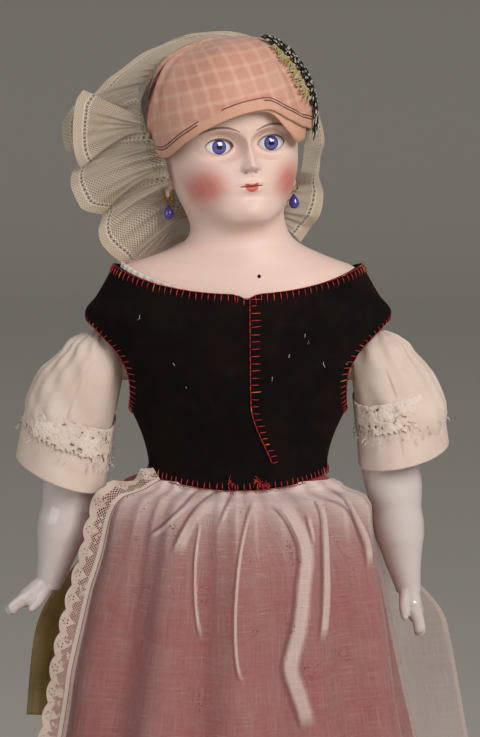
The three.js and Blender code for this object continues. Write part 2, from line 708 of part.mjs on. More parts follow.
// Skirts: half width and half depth of the skirt's outer face against the drop below the waist.
const skirtOutside = skirtInside + wool;
const hemDrop = waistHeight - skirtHem;
const gatherDrop = waistHeight - bodiceHem + 1;
const skirtHalfWidth = through([
  [0, waistHalfWidth + skirtOutside], [gatherDrop, waistHalfWidth + skirtOutside + 0.4], [gatherDrop + 4, 49],
  [gatherDrop + 9, 54], [30, 59], [52, 64], [85, 71], [126, 80], [222, 101], [hemDrop, hemHalfWidth],
]);
const skirtHalfDepth = through([
  [0, waistHalfDepth + skirtOutside], [gatherDrop, waistHalfDepth + skirtOutside + 0.4], [gatherDrop + 4, 40],
  [gatherDrop + 9, 46], [30, 53], [52, 60], [85, 68], [126, 77], [222, 95], [hemDrop, hemHalfDepth],
]);
const foldDepth = through([[gatherDrop, 0], [gatherDrop + 8, 1], [52, 2.4], [126, 3.6], [hemDrop, 5]]);
const skirtDrops = [-4, gatherDrop, gatherDrop + 4, gatherDrop + 9, 40, 70, 126, hemDrop];
const skirtColumns = foldCount * 4;

// A point of the folded skirt, moved out from its outer face.
function skirtPoint(drop, angle, out) {
  const folded = foldDepth(drop) * Math.cos(foldCount * angle) + out;
  return point(
    (skirtHalfWidth(drop) + folded) * Math.sin(angle),
    -(skirtHalfDepth(drop) + folded) * Math.cos(angle),
    waistHeight - drop,
  );
}
const skirtAngle = (column) => (2 * Math.PI * column) / skirtColumns;
function skirtRings(out) {
  return skirtDrops
    .slice()
    .reverse()
    .map((drop) => range(skirtColumns).map((c) => skirtPoint(drop, skirtAngle(c), out)));
}
place(doll, "skirt", wall(skirtRings(0), skirtRings(-wool)), redWool);

// How much further apart two layers stand, measured level, where the skirt slopes out.
function lean(drop) {
  const slope = skirtHalfDepth(drop + 2) - skirtHalfDepth(drop - 2);
  return Math.hypot(1, slope / 4);
}

// Petticoat: plain and unpleated, filling the skirt from inside.
function petticoatRings(inset) {
  const drops = [...skirtDrops.slice(0, -1), waistHeight - petticoatHem].reverse();
  return drops.map((drop) => {
    const room = 1.4 * foldDepth(drop) + (wool + seat) * lean(drop) + inset;
    return oval(14, waistHeight - drop, skirtHalfWidth(drop) - room, skirtHalfDepth(drop) - room);
  });
}
place(doll, "petticoat", wall(petticoatRings(0), petticoatRings(linen)), whiteCotton);

// Apron: it lies in the skirt's folds across the front and stands free of the skirt at both sides.
const apronColumns = 9;
const apronFreeLeft = through([[gatherDrop, 1], [70, 10], [126, 37], [waistHeight - apronHem, 23]]);
const apronFreeRight = through([[gatherDrop, 1], [126, 4], [waistHeight - apronHem, 6]]);
const apronDrops = [gatherDrop - 4, ...skirtDrops.slice(1, -1), waistHeight - apronHem];

// One row of the apron, from the doll's right edge to the left one.
function apronRow(drop, freeRight, freeLeft) {
  const out = (1.2 * seat + linen / 2) * lean(drop);
  const on = range(2 * apronColumns + 1).map((i) => skirtPoint(drop, skirtAngle(i - apronColumns), out));
  const beyond = (from, side, by) => from.clone().add(point(side * 0.87 * by, 0.5 * by, 0));
  const last = on[on.length - 1];
  return [beyond(on[0], -1, freeRight), ...on, beyond(last, 1, 0.5 * freeLeft), beyond(last, 1, freeLeft)];
}
const apronGrid = apronDrops.map((drop) => apronRow(drop, apronFreeRight(drop), apronFreeLeft(drop)));
place(doll, "apron", sheet(apronGrid, linen), sheerMuslin);

// Lace edging down the apron's right side and along its hem.
const laceGrid = apronDrops.slice(3).map((drop, i) => {
  const edge = apronGrid[i + 3][0];
  const away = point(-0.95, 0.3, 0);
  const width = Math.min(laceWidth, 2 + 0.2 * drop);
  return [1, 0.5, 0].map((share) => edge.clone().addScaledVector(away, seat + share * width));
});
place(doll, "apron_lace", sheet(laceGrid, linen), whiteLace);
const apronDrop = waistHeight - apronHem;
const hemLaceGrid = [seat, laceWidth].map((down) =>
  apronRow(apronDrop + down, apronFreeRight(apronDrop), apronFreeLeft(apronDrop)),
);
place(doll, "apron_hem_lace", sheet(hemLaceGrid, linen), whiteLace);

// Apron strings: a silk ribbon round the back of the waist, with a bow and two tails.
const tieGrid = [0, gatherDrop - 1].map((drop) =>
  range(skirtColumns - 2 * apronColumns - 1).map((i) =>
    skirtPoint(drop, skirtAngle(apronColumns + 1 + i), seat + linen / 2),
  ),
);
place(doll, "apron_tie", sheet(tieGrid, linen), goldSilk);
const knotSize = 4.5;
const knotDrop = gatherDrop + 6;
const knotBack = skirtHalfDepth(knotDrop) + foldDepth(knotDrop) + (knotSize - seat) * lean(knotDrop);
const knotAt = point(0, knotBack, waistHeight - knotDrop);
place(doll, "bow_knot", ball(knotSize, knotSize, knotSize, 10, 8).translate(...knotAt.toArray()), goldSilk);
function bowLoop(side) {
  const teardrop = (z, inset) =>
    range(16).map((i) => {
      const turn = (2 * Math.PI * i) / 16;
      const [reach, rise] = [10.5 - 1.6 * inset, 7.5 - inset];
      const taper = 0.55 - 0.45 * side * Math.cos(turn);
      const middle = knotSize + seat + 10.5;
      return point(side * middle - reach * Math.cos(turn), -rise * taper * Math.sin(turn), z);
    });
  const loop = wall([-3.5, 3.5].map((z) => teardrop(z, 0)), [-3.5, 3.5].map((z) => teardrop(z, 1.4)));
  return loop.rotateX(Math.PI / 2).translate(knotAt.x, knotAt.y, knotAt.z);
}
place(doll, "bow_loop_right", bowLoop(-1), goldSilk);
place(doll, "bow_loop_left", bowLoop(1), goldSilk);
function ribbonTail(stops, startDirection, endDirection) {
  const path = new THREE.CatmullRomCurve3(stops);
  const steps = 12;
  const centres = path.getPoints(steps);
  const rows = centres.map((centre, i) => {
    const across = startDirection.clone().lerp(endDirection, Math.min(1, (1.6 * i) / steps)).normalize();
    const width = mix(5, tieWidth, Math.min(1, (3 * i) / steps));
    return [0.5, 0, -0.5].map((share) => centre.clone().addScaledVector(across, share * width));
  });
  return sheet(rows, linen);
}
const tailStart = (side) => knotAt.clone().add(point(side * 4, 1, -knotSize - 1.5));
// A point that stands off the skirt, at an angle round from the front.
function besideSkirt(drop, degrees, off) {
  const angle = THREE.MathUtils.degToRad(degrees);
  const [x, y] = [skirtHalfWidth(drop) + off, skirtHalfDepth(drop) + off];
  return point(x * Math.sin(angle), -y * Math.cos(angle), waistHeight - drop);
}
const rightTail = ribbonTail(
  [tailStart(-1), besideSkirt(30, -153, 21), besideSkirt(58, -125, 25), besideSkirt(88, -112, 28),
    besideSkirt(130, -108, 21)],
  point(-1, 0, -0.6), point(-1, 0.1, 0),
);
place(doll, "tie_tail_right", rightTail, goldSilk);
const leftTail = ribbonTail(
  [tailStart(1), besideSkirt(34, 170, 18), besideSkirt(72, 167, 21), besideSkirt(126, 167, 20)],
  point(1, 0, -0.6), point(1, -0.1, 0),
);
place(doll, "tie_tail_left", leftTail, goldSilk);

// Arms: a stuffed upper arm hinged at the shoulder, a glazed china forearm tied into it, and the sleeve.
const upperArmRadius = through([[-elbowDrop, 10.6], [-34, 12], [-20, 12.6], [-4, 12], [6, 10], [12, 4]]);
const chinaRadius = through([
  [-110, 6.3], [-104, 7.5], [-96, 8.9], [-92, 10.2], [-86, 12.7], [-78, 12.6], [-70, 12.1], [-64, 13.5],
  [-56, 14], [-elbowDrop - 6, 12.8], [-elbowDrop - seat, 11.5],
]);
const chinaShift = through([
  [-138, 9], [-126, 7.5], [-110, 5.5], [-96, 4], [-64, 2.5], [-elbowDrop - 6, 0.6], [-elbowDrop, 0],
]);
const sleeveRadius = through([
  [-60, 22], [-40, 21.5], [-26, 20], [-12, 18.6], [0, 17.4], [8, 15.4], [13, 10.5], [16, 4],
]);
const sleeveShift = through([[-60, 8], [-40, 7.6], [-26, 6.6], [-12, 4.2], [4, 0]]);

function hand(side) {
  const palm = skin([
    oval(10, -126.5, 3.6, 6.6, 6.6, { x: side * -0.6 }),
    oval(10, -121, 4.6, 7.8, 7.8),
    oval(10, -114, 5, 6.6, 6.6),
    oval(10, -108, 5.4, 5.8, 5.8),
  ]);
  const fingers = [-5.2, -1.7, 1.8, 5].map((y, i) => {
    const length = [10, 11.5, 11, 8.5][i];
    return skin([
      oval(6, -124 - length, 1.5, 1.1, 1.1, { x: side * 0.4, y: y * 0.8 }),
      oval(6, -123 - length * 0.8, 2.6, 1.7, 1.7, { x: side * 0.9, y: y * 0.85 }),
      oval(6, -120, 2.4, 1.6, 1.6, { y: y * 0.9 }),
    ]);
  });
  const thumb = skin([
    oval(6, -125, 1.1, 1.1, 1.1, { x: side * -5.4, y: -7.6 }),
    oval(6, -121, 2, 2, 2, { x: side * -4.6, y: -7.2 }),
    oval(6, -113, 2.2, 2.4, 2.4, { x: side * -2, y: -3.6 }),
  ]);
  return [palm, ...fingers, thumb];
}

function buildArm(name, side) {
  const arm = new THREE.Group();
  arm.position.set(side * jointX, 0, shoulderHeight);
  doll.add(arm);
  const hang = (geometry) => geometry.rotateY(-side * armTilt[name]);
  const drop = sleeveDrop[name];
  const along = (levels, sides, radius, shift) =>
    levels.map((z) => oval(sides, z, radius(z), radius(z), radius(z), { x: side * shift(z) }));
  const straight = () => 0;
  // The sleeve's end is cut on a slope: higher on the outer side and lower in front.
  const slope = through([[-60, 1], [-drop + cuffTurnUp, 1], [8, 0], [16, 0]]);
  const sleeve = (levels, radius) =>
    along(levels, 16, radius, sleeveShift).map((ring) =>
      ring.map(({ x, y, z }) => {
        const outward = side * x - sleeveShift(z);
        return point(x, y, z + slope(z) * (cuffRise[name] * outward + cuffDroop * y));
      }),
    );

  const flesh = skin(along([-elbowDrop, -34, -20, -4, 6, 12], 12, upperArmRadius, straight));
  const socket = rod(chinaNeck + seat, 11, 14).rotateX(Math.PI / 2).translate(0, 0, -elbowDrop + 5);
  const groove = turnedRing(upperArmRadius(-35) - 1, upperArmRadius(-35) + 3, 2.6).translate(0, 0, -35);
  const stub = rod(stubRadius, armReach, 14).rotateZ(Math.PI / 2).translate((-side * armReach) / 2, 0, 0);
  place(arm, `upper_arm_${name}`, join(hang(cut(flesh, socket, groove)), stub), calico);
  const binding = turnedRing(upperArmRadius(-35) - 1 + seat, upperArmRadius(-35) + 0.6, 1.8);
  place(arm, `arm_binding_${name}`, hang(binding.translate(0, 0, -35)), thread);

  const neck = rod(chinaNeck, 11, 14).rotateX(Math.PI / 2).translate(0, 0, -elbowDrop + 3);
  const chinaLevels = [-110, -104, -96, -92, -86, -78, -70, -64, -56, -elbowDrop - 6, -elbowDrop - seat];
  const forearm = skin(along(chinaLevels, 12, chinaRadius, chinaShift));
  const fingers = hand(side).map((piece) =>
    piece
      .translate(0, 0, wristDrop)
      .rotateY(-side * wristBend[name])
      .translate(side * chinaShift(-wristDrop), 0, -wristDrop),
  );
  place(arm, `lower_arm_${name}`, hang(join(forearm, neck, ...fingers)), china);

  const sleeveLevels = [-drop, -40, -26, -12, 8, 13, 16];
  const outer = skin(sleeve(sleeveLevels, sleeveRadius));
  const lining = (z) => sleeveRadius(z) - linen;
  const inner = skin(sleeve([-drop - 1, -40, -26, -12, 8, 12, 14.6], lining));
  const armWay = rod(stubRadius + 2 * seat, 30, 12).rotateZ(Math.PI / 2).translate(-side * 15, 0, 0);
  place(arm, `sleeve_${name}`, cut(hang(cut(outer, inner)), armWay), creamCotton);

  const cuffLevels = [-drop - 2, -drop + cuffTurnUp * 0.3, -drop + cuffTurnUp * 0.65, -drop + cuffTurnUp];
  const layer = (levels, out) => sleeve(levels, (z) => sleeveRadius(z) + out);
  const cuffOut = seat + wool;
  place(arm, `cuff_${name}`, hang(wall(layer(cuffLevels, cuffOut), layer(cuffLevels, seat))), creamCotton);
  const trimLevels = [-drop + cuffTurnUp - cuffTrim, -drop + cuffTurnUp + 1];
  const trim = wall(layer(trimLevels, cuffOut + seat + silk), layer(trimLevels, cuffOut + seat));
  place(arm, `cuff_trim_${name}`, hang(trim), whiteLace);
}
function turnedRing(inner, outer, height) {
  const half = height / 2;
  return wall(
    [-half, half].map((z) => oval(16, z, outer, outer)),
    [-half, half].map((z) => oval(16, z, inner, inner)),
  );
}
buildArm("right", -1);
buildArm("left", 1);

// Legs: stuffed thigh and shin on stitched hinges, a drawers leg, and a boot with its sole.
const thighLength = hipHeight - kneeHeight;
const thighFoot = -thighLength + kneeSeam + seat;
const thighHalfWidth = through([
  [thighFoot, 13], [thighFoot + 10, 15], [-84, 17], [-60, 18.5], [-34, 20], [-14, 19.5], [0, 17],
  [hipSeam, 15],
]);
const thighHalfDepth = through([
  [thighFoot, 4.5], [thighFoot + 10, 10], [-84, 15.5], [-60, 18], [-34, 18.5], [-14, 14], [0, hipSeam],
  [hipSeam * 0.7, hipSeam * 0.7], [hipSeam, 1],
]);
const thighLevels = [thighFoot, thighFoot + 10, -84, -60, -34, -14, 0, hipSeam * 0.7, hipSeam];
const shinHalfWidth = through([
  [-108, 9], [-95, 9.5], [-75, 11.5], [-45, 14], [-20, 13.5], [0, 12.5], [kneeSeam, 11],
]);
const shinHalfDepth = through([
  [-108, 10], [-95, 10], [-75, 12], [-45, 14], [-20, 12.5], [-8, 9], [0, kneeSeam],
  [kneeSeam * 0.7, kneeSeam * 0.7], [kneeSeam, 1],
]);
const shinLevels = [-108, -95, -75, -45, -20, -8, 0, kneeSeam * 0.7, kneeSeam];

function buildLeg(name, side) {
  const hip = new THREE.Group();
  hip.position.set(side * legSpread, 0, hipHeight);
  doll.add(hip);
  const rings = (levels, sides, width, depth, out) =>
    levels.map((z) => oval(sides, z, width(z) + out, depth(z) + out));
  place(hip, `thigh_${name}`, skin(rings(thighLevels, 12, thighHalfWidth, thighHalfDepth, 0)), calico);
  const drawersLevels = [-96, -84, -60, -34, -14];
  const drawers = wall(
    rings(drawersLevels, 12, thighHalfWidth, thighHalfDepth, 2 * seat + linen),
    rings(drawersLevels, 12, thighHalfWidth, thighHalfDepth, 2 * seat),
  );
  place(hip, `drawers_${name}`, drawers, whiteCotton);

  const knee = new THREE.Group();
  knee.position.z = -thighLength;
  hip.add(knee);
  place(knee, `shin_${name}`, skin(rings(shinLevels, 12, shinHalfWidth, shinHalfDepth, 0)), whiteCotton);

  const floor = -kneeHeight;
  const shaft = bootTop + floor;
  const shaftWall = bootLeather + seat;
  const upper = skin([
    oval(16, floor + soleThickness, 12, toeReach - 1, heelReach - 1),
    oval(16, floor + soleThickness + 6, 13.2, toeReach, heelReach),
    oval(16, floor + soleThickness + 14, 12.6, toeReach - 7, heelReach - 0.5),
    oval(16, floor + soleThickness + 22, 12.4, toeReach - 19, heelReach - 3),
    oval(16, floor + soleThickness + 32, 12.2, 14.5, 15),
    oval(16, shaft - 14, shinHalfWidth(shaft - 14) + shaftWall, shinHalfDepth(shaft - 14) + shaftWall),
    oval(16, shaft, shinHalfWidth(shaft) + shaftWall, shinHalfDepth(shaft) + shaftWall),
  ]);
  const footLevels = [-108 - seat, -95, -75, shaft + 6];
  const hollow = skin(rings(footLevels, 12, shinHalfWidth, shinHalfDepth, seat));
  place(knee, `boot_${name}`, cut(upper, hollow), blackLeather);
  const sole = skin([
    oval(16, floor, 12.6, toeReach, heelReach),
    oval(16, floor + soleThickness - seat, 13, toeReach + 0.5, heelReach + 0.5),
  ]);
  place(knee, `boot_sole_${name}`, sole, soleLeather);
}
buildLeg("right", -1);
buildLeg("left", 1);

export default doll;
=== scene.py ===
import math

import bmesh
import bpy
import numpy as np
from mathutils import Matrix


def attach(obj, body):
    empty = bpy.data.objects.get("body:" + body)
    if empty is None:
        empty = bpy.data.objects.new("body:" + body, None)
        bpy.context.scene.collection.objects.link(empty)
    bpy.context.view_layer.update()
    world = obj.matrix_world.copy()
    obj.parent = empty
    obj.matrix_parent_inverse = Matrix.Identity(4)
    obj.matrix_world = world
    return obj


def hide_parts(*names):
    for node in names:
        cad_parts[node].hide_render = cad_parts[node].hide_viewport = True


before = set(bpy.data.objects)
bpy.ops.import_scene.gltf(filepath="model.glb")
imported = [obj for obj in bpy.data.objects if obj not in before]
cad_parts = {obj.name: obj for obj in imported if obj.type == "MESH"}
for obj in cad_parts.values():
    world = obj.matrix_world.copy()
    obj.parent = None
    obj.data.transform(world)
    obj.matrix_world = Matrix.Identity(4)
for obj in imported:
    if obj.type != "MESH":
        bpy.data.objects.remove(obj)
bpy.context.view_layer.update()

# Shapes are drawn in millimetres in the frame of the solids and scaled by MM when they become meshes.
# The floor, lights and camera are in metres.
MM = 0.001

# Heights and sizes shared with the solids
waist_height = 352
shoulder_height = 401
plate_rim_height = 405
neck_height = 462
neck_to_eyes = 45
hip_height = 258
knee_height = 138
leg_spread = 23
joint_x = 68.4
gather_drop = 9
skirt_hem = 35
petticoat_hem = 45
apron_hem = 95
lace_width = 11.5
tie_width = 17
head_turn = math.radians(15)
head_lean = math.radians(-4)
eye_spacing = 12.7
eye_set_back = 16.6
eye_half_width = 6.7
upper_lid = 3.7
lower_lid = 3.5
crown_opening = 31
arm_tilt = {"left": math.radians(4.5), "right": math.radians(9.5)}
sleeve_drop = {"left": 42, "right": 52}
cuff_turn_up = 28
SIDES = {"left": 1, "right": -1}


# Curves and grids

def through(pairs):
    """A smooth curve through [position, value] pairs that never overshoots them."""
    x = np.array([p[0] for p in pairs], float)
    y = np.array([p[1] for p in pairs], float)
    rise = np.diff(y) / np.diff(x)
    slope = np.concatenate([rise[:1], np.zeros(len(x) - 2), rise[-1:]])
    product = rise[:-1] * rise[1:]
    total = np.where(product > 0, rise[:-1] + rise[1:], 1)
    slope[1:-1] = np.where(product > 0, 2 * product / total, 0)

    def value(at):
        at = np.clip(np.asarray(at, float), x[0], x[-1])
        i = np.clip(np.searchsorted(x, at, side="right") - 1, 0, len(x) - 2)
        step = x[i + 1] - x[i]
        t = (at - x[i]) / step
        start = y[i] * (2 * t**3 - 3 * t**2 + 1) + slope[i] * step * (t**3 - 2 * t**2 + t)
        return start + y[i + 1] * (3 * t**2 - 2 * t**3) + slope[i + 1] * step * (t**3 - t**2)

    return value


def curves(rows):
    """A smooth curve for each value in rows of [position, value, value, ...]."""
    table = np.array(rows, float)
    return [through(table[:, [0, i]]) for i in range(1, table.shape[1])]


def mix(a, b, t):
    return a + (b - a) * t


def smoothstep(low, high, value):
    t = np.clip((value - low) / (high - low), 0, 1)
    return t * t * (3 - 2 * t)


def bell(value, centre, half):
    return np.exp(-(((value - centre) / half) ** 2))


def full_turn(count):
    return np.linspace(0, 2 * math.pi, count, endpoint=False)


def unit(vectors):
    return vectors / np.linalg.norm(vectors, axis=-1, keepdims=True)


def distances(points):
    """How far along a line each of its points lies."""
    return np.concatenate([[0], np.cumsum(np.linalg.norm(np.diff(points, axis=0), axis=1))])


def stacked(x, y, z):
    return np.stack(np.broadcast_arrays(x, y, z), axis=-1).astype(float)


def ripple(a, b, seed, scale):
    """A soft uneven wave over two coordinates, from -1 to 1, the same each run."""
    dice = np.random.default_rng(seed)
    total = 0
    for _ in range(5):
        turn = dice.uniform(0, 2 * math.pi)
        size = scale * dice.uniform(0.6, 1.7)
        total = total + np.sin((a * math.cos(turn) + b * math.sin(turn)) / size + dice.uniform(0, 6.28))
    return total / 5


def quads(rows, columns, around=False, looped=False):
    index = np.arange(rows * columns).reshape(rows, columns)
    if around:
        index = np.concatenate([index, index[:, :1]], axis=1)
    if looped:
        index = np.concatenate([index, index[:1]], axis=0)
    corners = [index[:-1, :-1], index[:-1, 1:], index[1:, 1:], index[1:, :-1]]
    return np.stack(corners, axis=-1).reshape(-1, 4)


def lengths(points, axis):
    """How far along its row or column each point of a grid lies."""
    step = np.linalg.norm(np.diff(points, axis=axis), axis=2)
    pad = [(1, 0), (0, 0)] if axis == 0 else [(0, 0), (1, 0)]
    return np.pad(np.cumsum(step, axis=axis), pad)


def cloth_grid(grid, around):
    """Thread positions over a grid, in millimetres: across at its widest row, and down a middle column."""
    if around:
        grid = np.concatenate([grid, grid[:, :1]], axis=1)
    across = lengths(grid, 1)
    widest = across[np.argmax(across[:, -1])]
    down = lengths(grid, 0)
    column = down[:, grid.shape[1] // 2]
    return stacked(widest[None, :], column[:, None], 0)[..., :2], widest[-1], column[-1]


def area_of(points, faces):
    """Square metres of a set of four-cornered faces."""
    a, b, c, d = (points[faces[:, i]] * MM for i in range(4))
    return float(np.linalg.norm(np.cross(c - a, d - b), axis=1).sum() / 2)


# Pieces

def placed(name, data):
    """An object in the scene over a mesh, lamp or camera."""
    made = bpy.data.objects.new(name, data)
    bpy.context.scene.collection.objects.link(made)
    return made


def mesh_over(name, points, faces, smooth=True):
    """A mesh over points given in metres."""
    mesh = bpy.data.meshes.new(name)
    mesh.from_pydata(np.asarray(points, float).reshape(-1, 3).tolist(), [], [list(f) for f in faces])
    if smooth:
        smooth_all(mesh)
    return mesh


def smooth_all(mesh):
    mesh.polygons.foreach_set("use_smooth", [True] * len(mesh.polygons))


def carry(mesh, key, value):
    """Gives each point of a mesh a value, or a vector of three."""
    is_vector = np.ndim(value) > 1 and np.shape(value)[-1] == 3
    kind, field = ("FLOAT_VECTOR", "vector") if is_vector else ("FLOAT", "value")
    attribute = mesh.attributes.new(key, kind, "POINT")
    attribute.data.foreach_set(field, np.asarray(value, np.float32).ravel())


def piece(name, points, faces, material, body, replaces=(), uv=None, values=None):
    """A smooth mesh piece that rides on a body. Points are in millimetres."""
    mesh = mesh_over(name, np.asarray(points, float) * MM, faces)
    if uv is not None:
        layer = mesh.uv_layers.new(name="threads")
        layer.data.foreach_set("uv", np.asarray(uv, np.float32).ravel())
    for key, value in (values or {}).items():
        carry(mesh, key, value)
    mesh.materials.append(material)
    made = placed(name, mesh)
    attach(made, body)
    if replaces:
        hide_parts(*replaces)
    return made


def thread_map(grid, around, threads=None):
    """Thread positions at the corners of a grid's faces."""
    if threads is None:
        threads, _, _ = cloth_grid(grid, around)
    corners = [threads[:-1, :-1], threads[:-1, 1:], threads[1:, 1:], threads[1:, :-1]]
    return np.stack(corners, axis=2).reshape(-1, 2)


def grid_piece(name, grid, material, body, replaces=(), around=False, values=None, threads=None):
    rows, columns = grid.shape[:2]
    flat_values = {k: np.reshape(v, (rows * columns, -1)).squeeze() for k, v in (values or {}).items()}
    return piece(name, grid, quads(rows, columns, around), material, body, replaces,
                 thread_map(grid, around, threads), flat_values)


def cloth(name, grid, material, body, replaces,
          around=False, thickness=0, values=None, threads=None):
    """A sheet of cloth over a grid, thickened when a thickness is given."""
    made = grid_piece(name, grid, material, body, replaces, around, values, threads)
    _, width, length = cloth_grid(grid, around)
    area = area_of(grid.reshape(-1, 3), quads(*grid.shape[:2], around))
    if thickness:
        thicken(made, thickness)
    return made


def thicken(made, thickness, offset=-1):
    solidify = made.modifiers.new("cloth thickness", "SOLIDIFY")
    solidify.thickness = thickness * MM
    solidify.offset = offset


def loft(rings):
    """Points and faces of a closed solid over stacked rings."""
    rows, columns = rings.shape[:2]
    points = np.concatenate([rings.reshape(-1, 3), [rings[0].mean(axis=0), rings[-1].mean(axis=0)]])
    faces = quads(rows, columns, True).tolist()
    low, high = rows * columns, rows * columns + 1
    last = (rows - 1) * columns
    for i in range(columns):
        after = (i + 1) % columns
        faces.append([low, after, i])
        faces.append([high, last + i, last + after])
    return points, faces


def loft_piece(name, rings, material, body, replaces=()):
    points, faces = loft(rings)
    uv = np.concatenate([thread_map(rings, True), np.zeros((6 * rings.shape[1], 2))])
    return piece(name, points, faces, material, body, replaces, uv)


def together(shapes):
    """Several shapes, each points and faces, as one."""
    points, faces, start = [], [], 0
    for some, between in shapes:
        points.append(np.reshape(some, (-1, 3)))
        faces += [[i + start for i in face] for face in between]
        start += len(points[-1])
    return np.concatenate(points), faces


def ovals(levels, half_width, front, back=None, x=0, y=0, count=48):
    """Level rings round Z, from the front towards +X."""
    angle = full_turn(count)[None, :]
    z = np.asarray(levels, float)[:, None]
    pick = lambda size: np.reshape(size(z) if callable(size) else size, (-1, 1)) * np.ones_like(z)
    depth = np.where(np.cos(angle) > 0, pick(front), pick(back if back is not None else front))
    return stacked(pick(x) + pick(half_width) * np.sin(angle), pick(y) - depth * np.cos(angle), z + 0 * angle)


def tube(path, radius, sides):
    path = np.asarray(path, float)
    along = np.gradient(path, axis=0)
    along /= np.linalg.norm(along, axis=1, keepdims=True) + 1e-9
    helper = np.where(np.abs(along[:, 2:3]) < 0.8, [[0.0, 0, 1]], [[1.0, 0, 0]])
    side = np.cross(along, helper)
    side /= np.linalg.norm(side, axis=1, keepdims=True) + 1e-9
    other = np.cross(side, along)
    turn = full_turn(sides)
    taper = np.ones(len(path))
    taper[[0, -1]] = 0.55
    ring = np.cos(turn)[None, :, None] * side[:, None] + np.sin(turn)[None, :, None] * other[:, None]
    ring = path[:, None] + radius * taper[:, None, None] * ring
    faces = quads(len(path), sides, True).tolist()
    faces.append(list(range(sides))[::-1])
    faces.append(list(range((len(path) - 1) * sides, len(path) * sides)))
    return ring.reshape(-1, 3), faces


def tube_piece(name, paths, radius, material, body, replaces=(), tone=None, sides=6):
    """One piece of many thin tubes, with a tone for each."""
    sizes = radius if np.ndim(radius) else [radius] * len(paths)
    shapes = [tube(path, size, sides) for path, size in zip(paths, sizes)]
    points, faces = together(shapes)
    values = None
    if tone is not None:
        values = {"tone": np.repeat(tone, [len(some) for some, _ in shapes])}
    return piece(name, points, faces, material, body, replaces, values=values)


def applied(made):
    """Applies a piece's modifiers to its mesh."""
    graph = bpy.context.evaluated_depsgraph_get()
    mesh = bpy.data.meshes.new_from_object(made.evaluated_get(graph))
    made.modifiers.clear()
    made.data = mesh
    smooth_all(mesh)
    return made


def cut_by(made, cutters):
    """Takes closed shapes, given as points and faces in millimetres, out of a piece."""
    for points, faces in cutters:
        tool = placed("cutter", mesh_over("cutter", np.asarray(points) * MM, faces, smooth=False))
        boolean = made.modifiers.new("cut", "BOOLEAN")
        boolean.operation = "DIFFERENCE"
        boolean.solver = "EXACT"
        boolean.object = tool
        applied(made)
        bpy.data.objects.remove(tool)
    made.data.set_sharp_from_angle(angle=math.radians(38))
    return made


# Paints

def srgb(text):
    """A colour written as six hex digits, in linear values."""
    parts = [int(text[i:i + 2], 16) / 255 for i in (0, 2, 4)]
    return [*(p / 12.92 if p <= 0.04045 else ((p + 0.055) / 1.055) ** 2.4 for p in parts), 1]


class Value:
    """A socket of a paint that can be added, subtracted and multiplied."""

    def __init__(self, paint, socket):
        self.paint = paint
        self.socket = socket

    def __add__(self, other):
        return self.paint.math("ADD", self, other)

    def __radd__(self, other):
        return self.paint.math("ADD", other, self)

    def __sub__(self, other):
        return self.paint.math("SUBTRACT", self, other)

    def __rsub__(self, other):
        return self.paint.math("SUBTRACT", other, self)

    def __mul__(self, other):
        return self.paint.math("MULTIPLY", self, other)


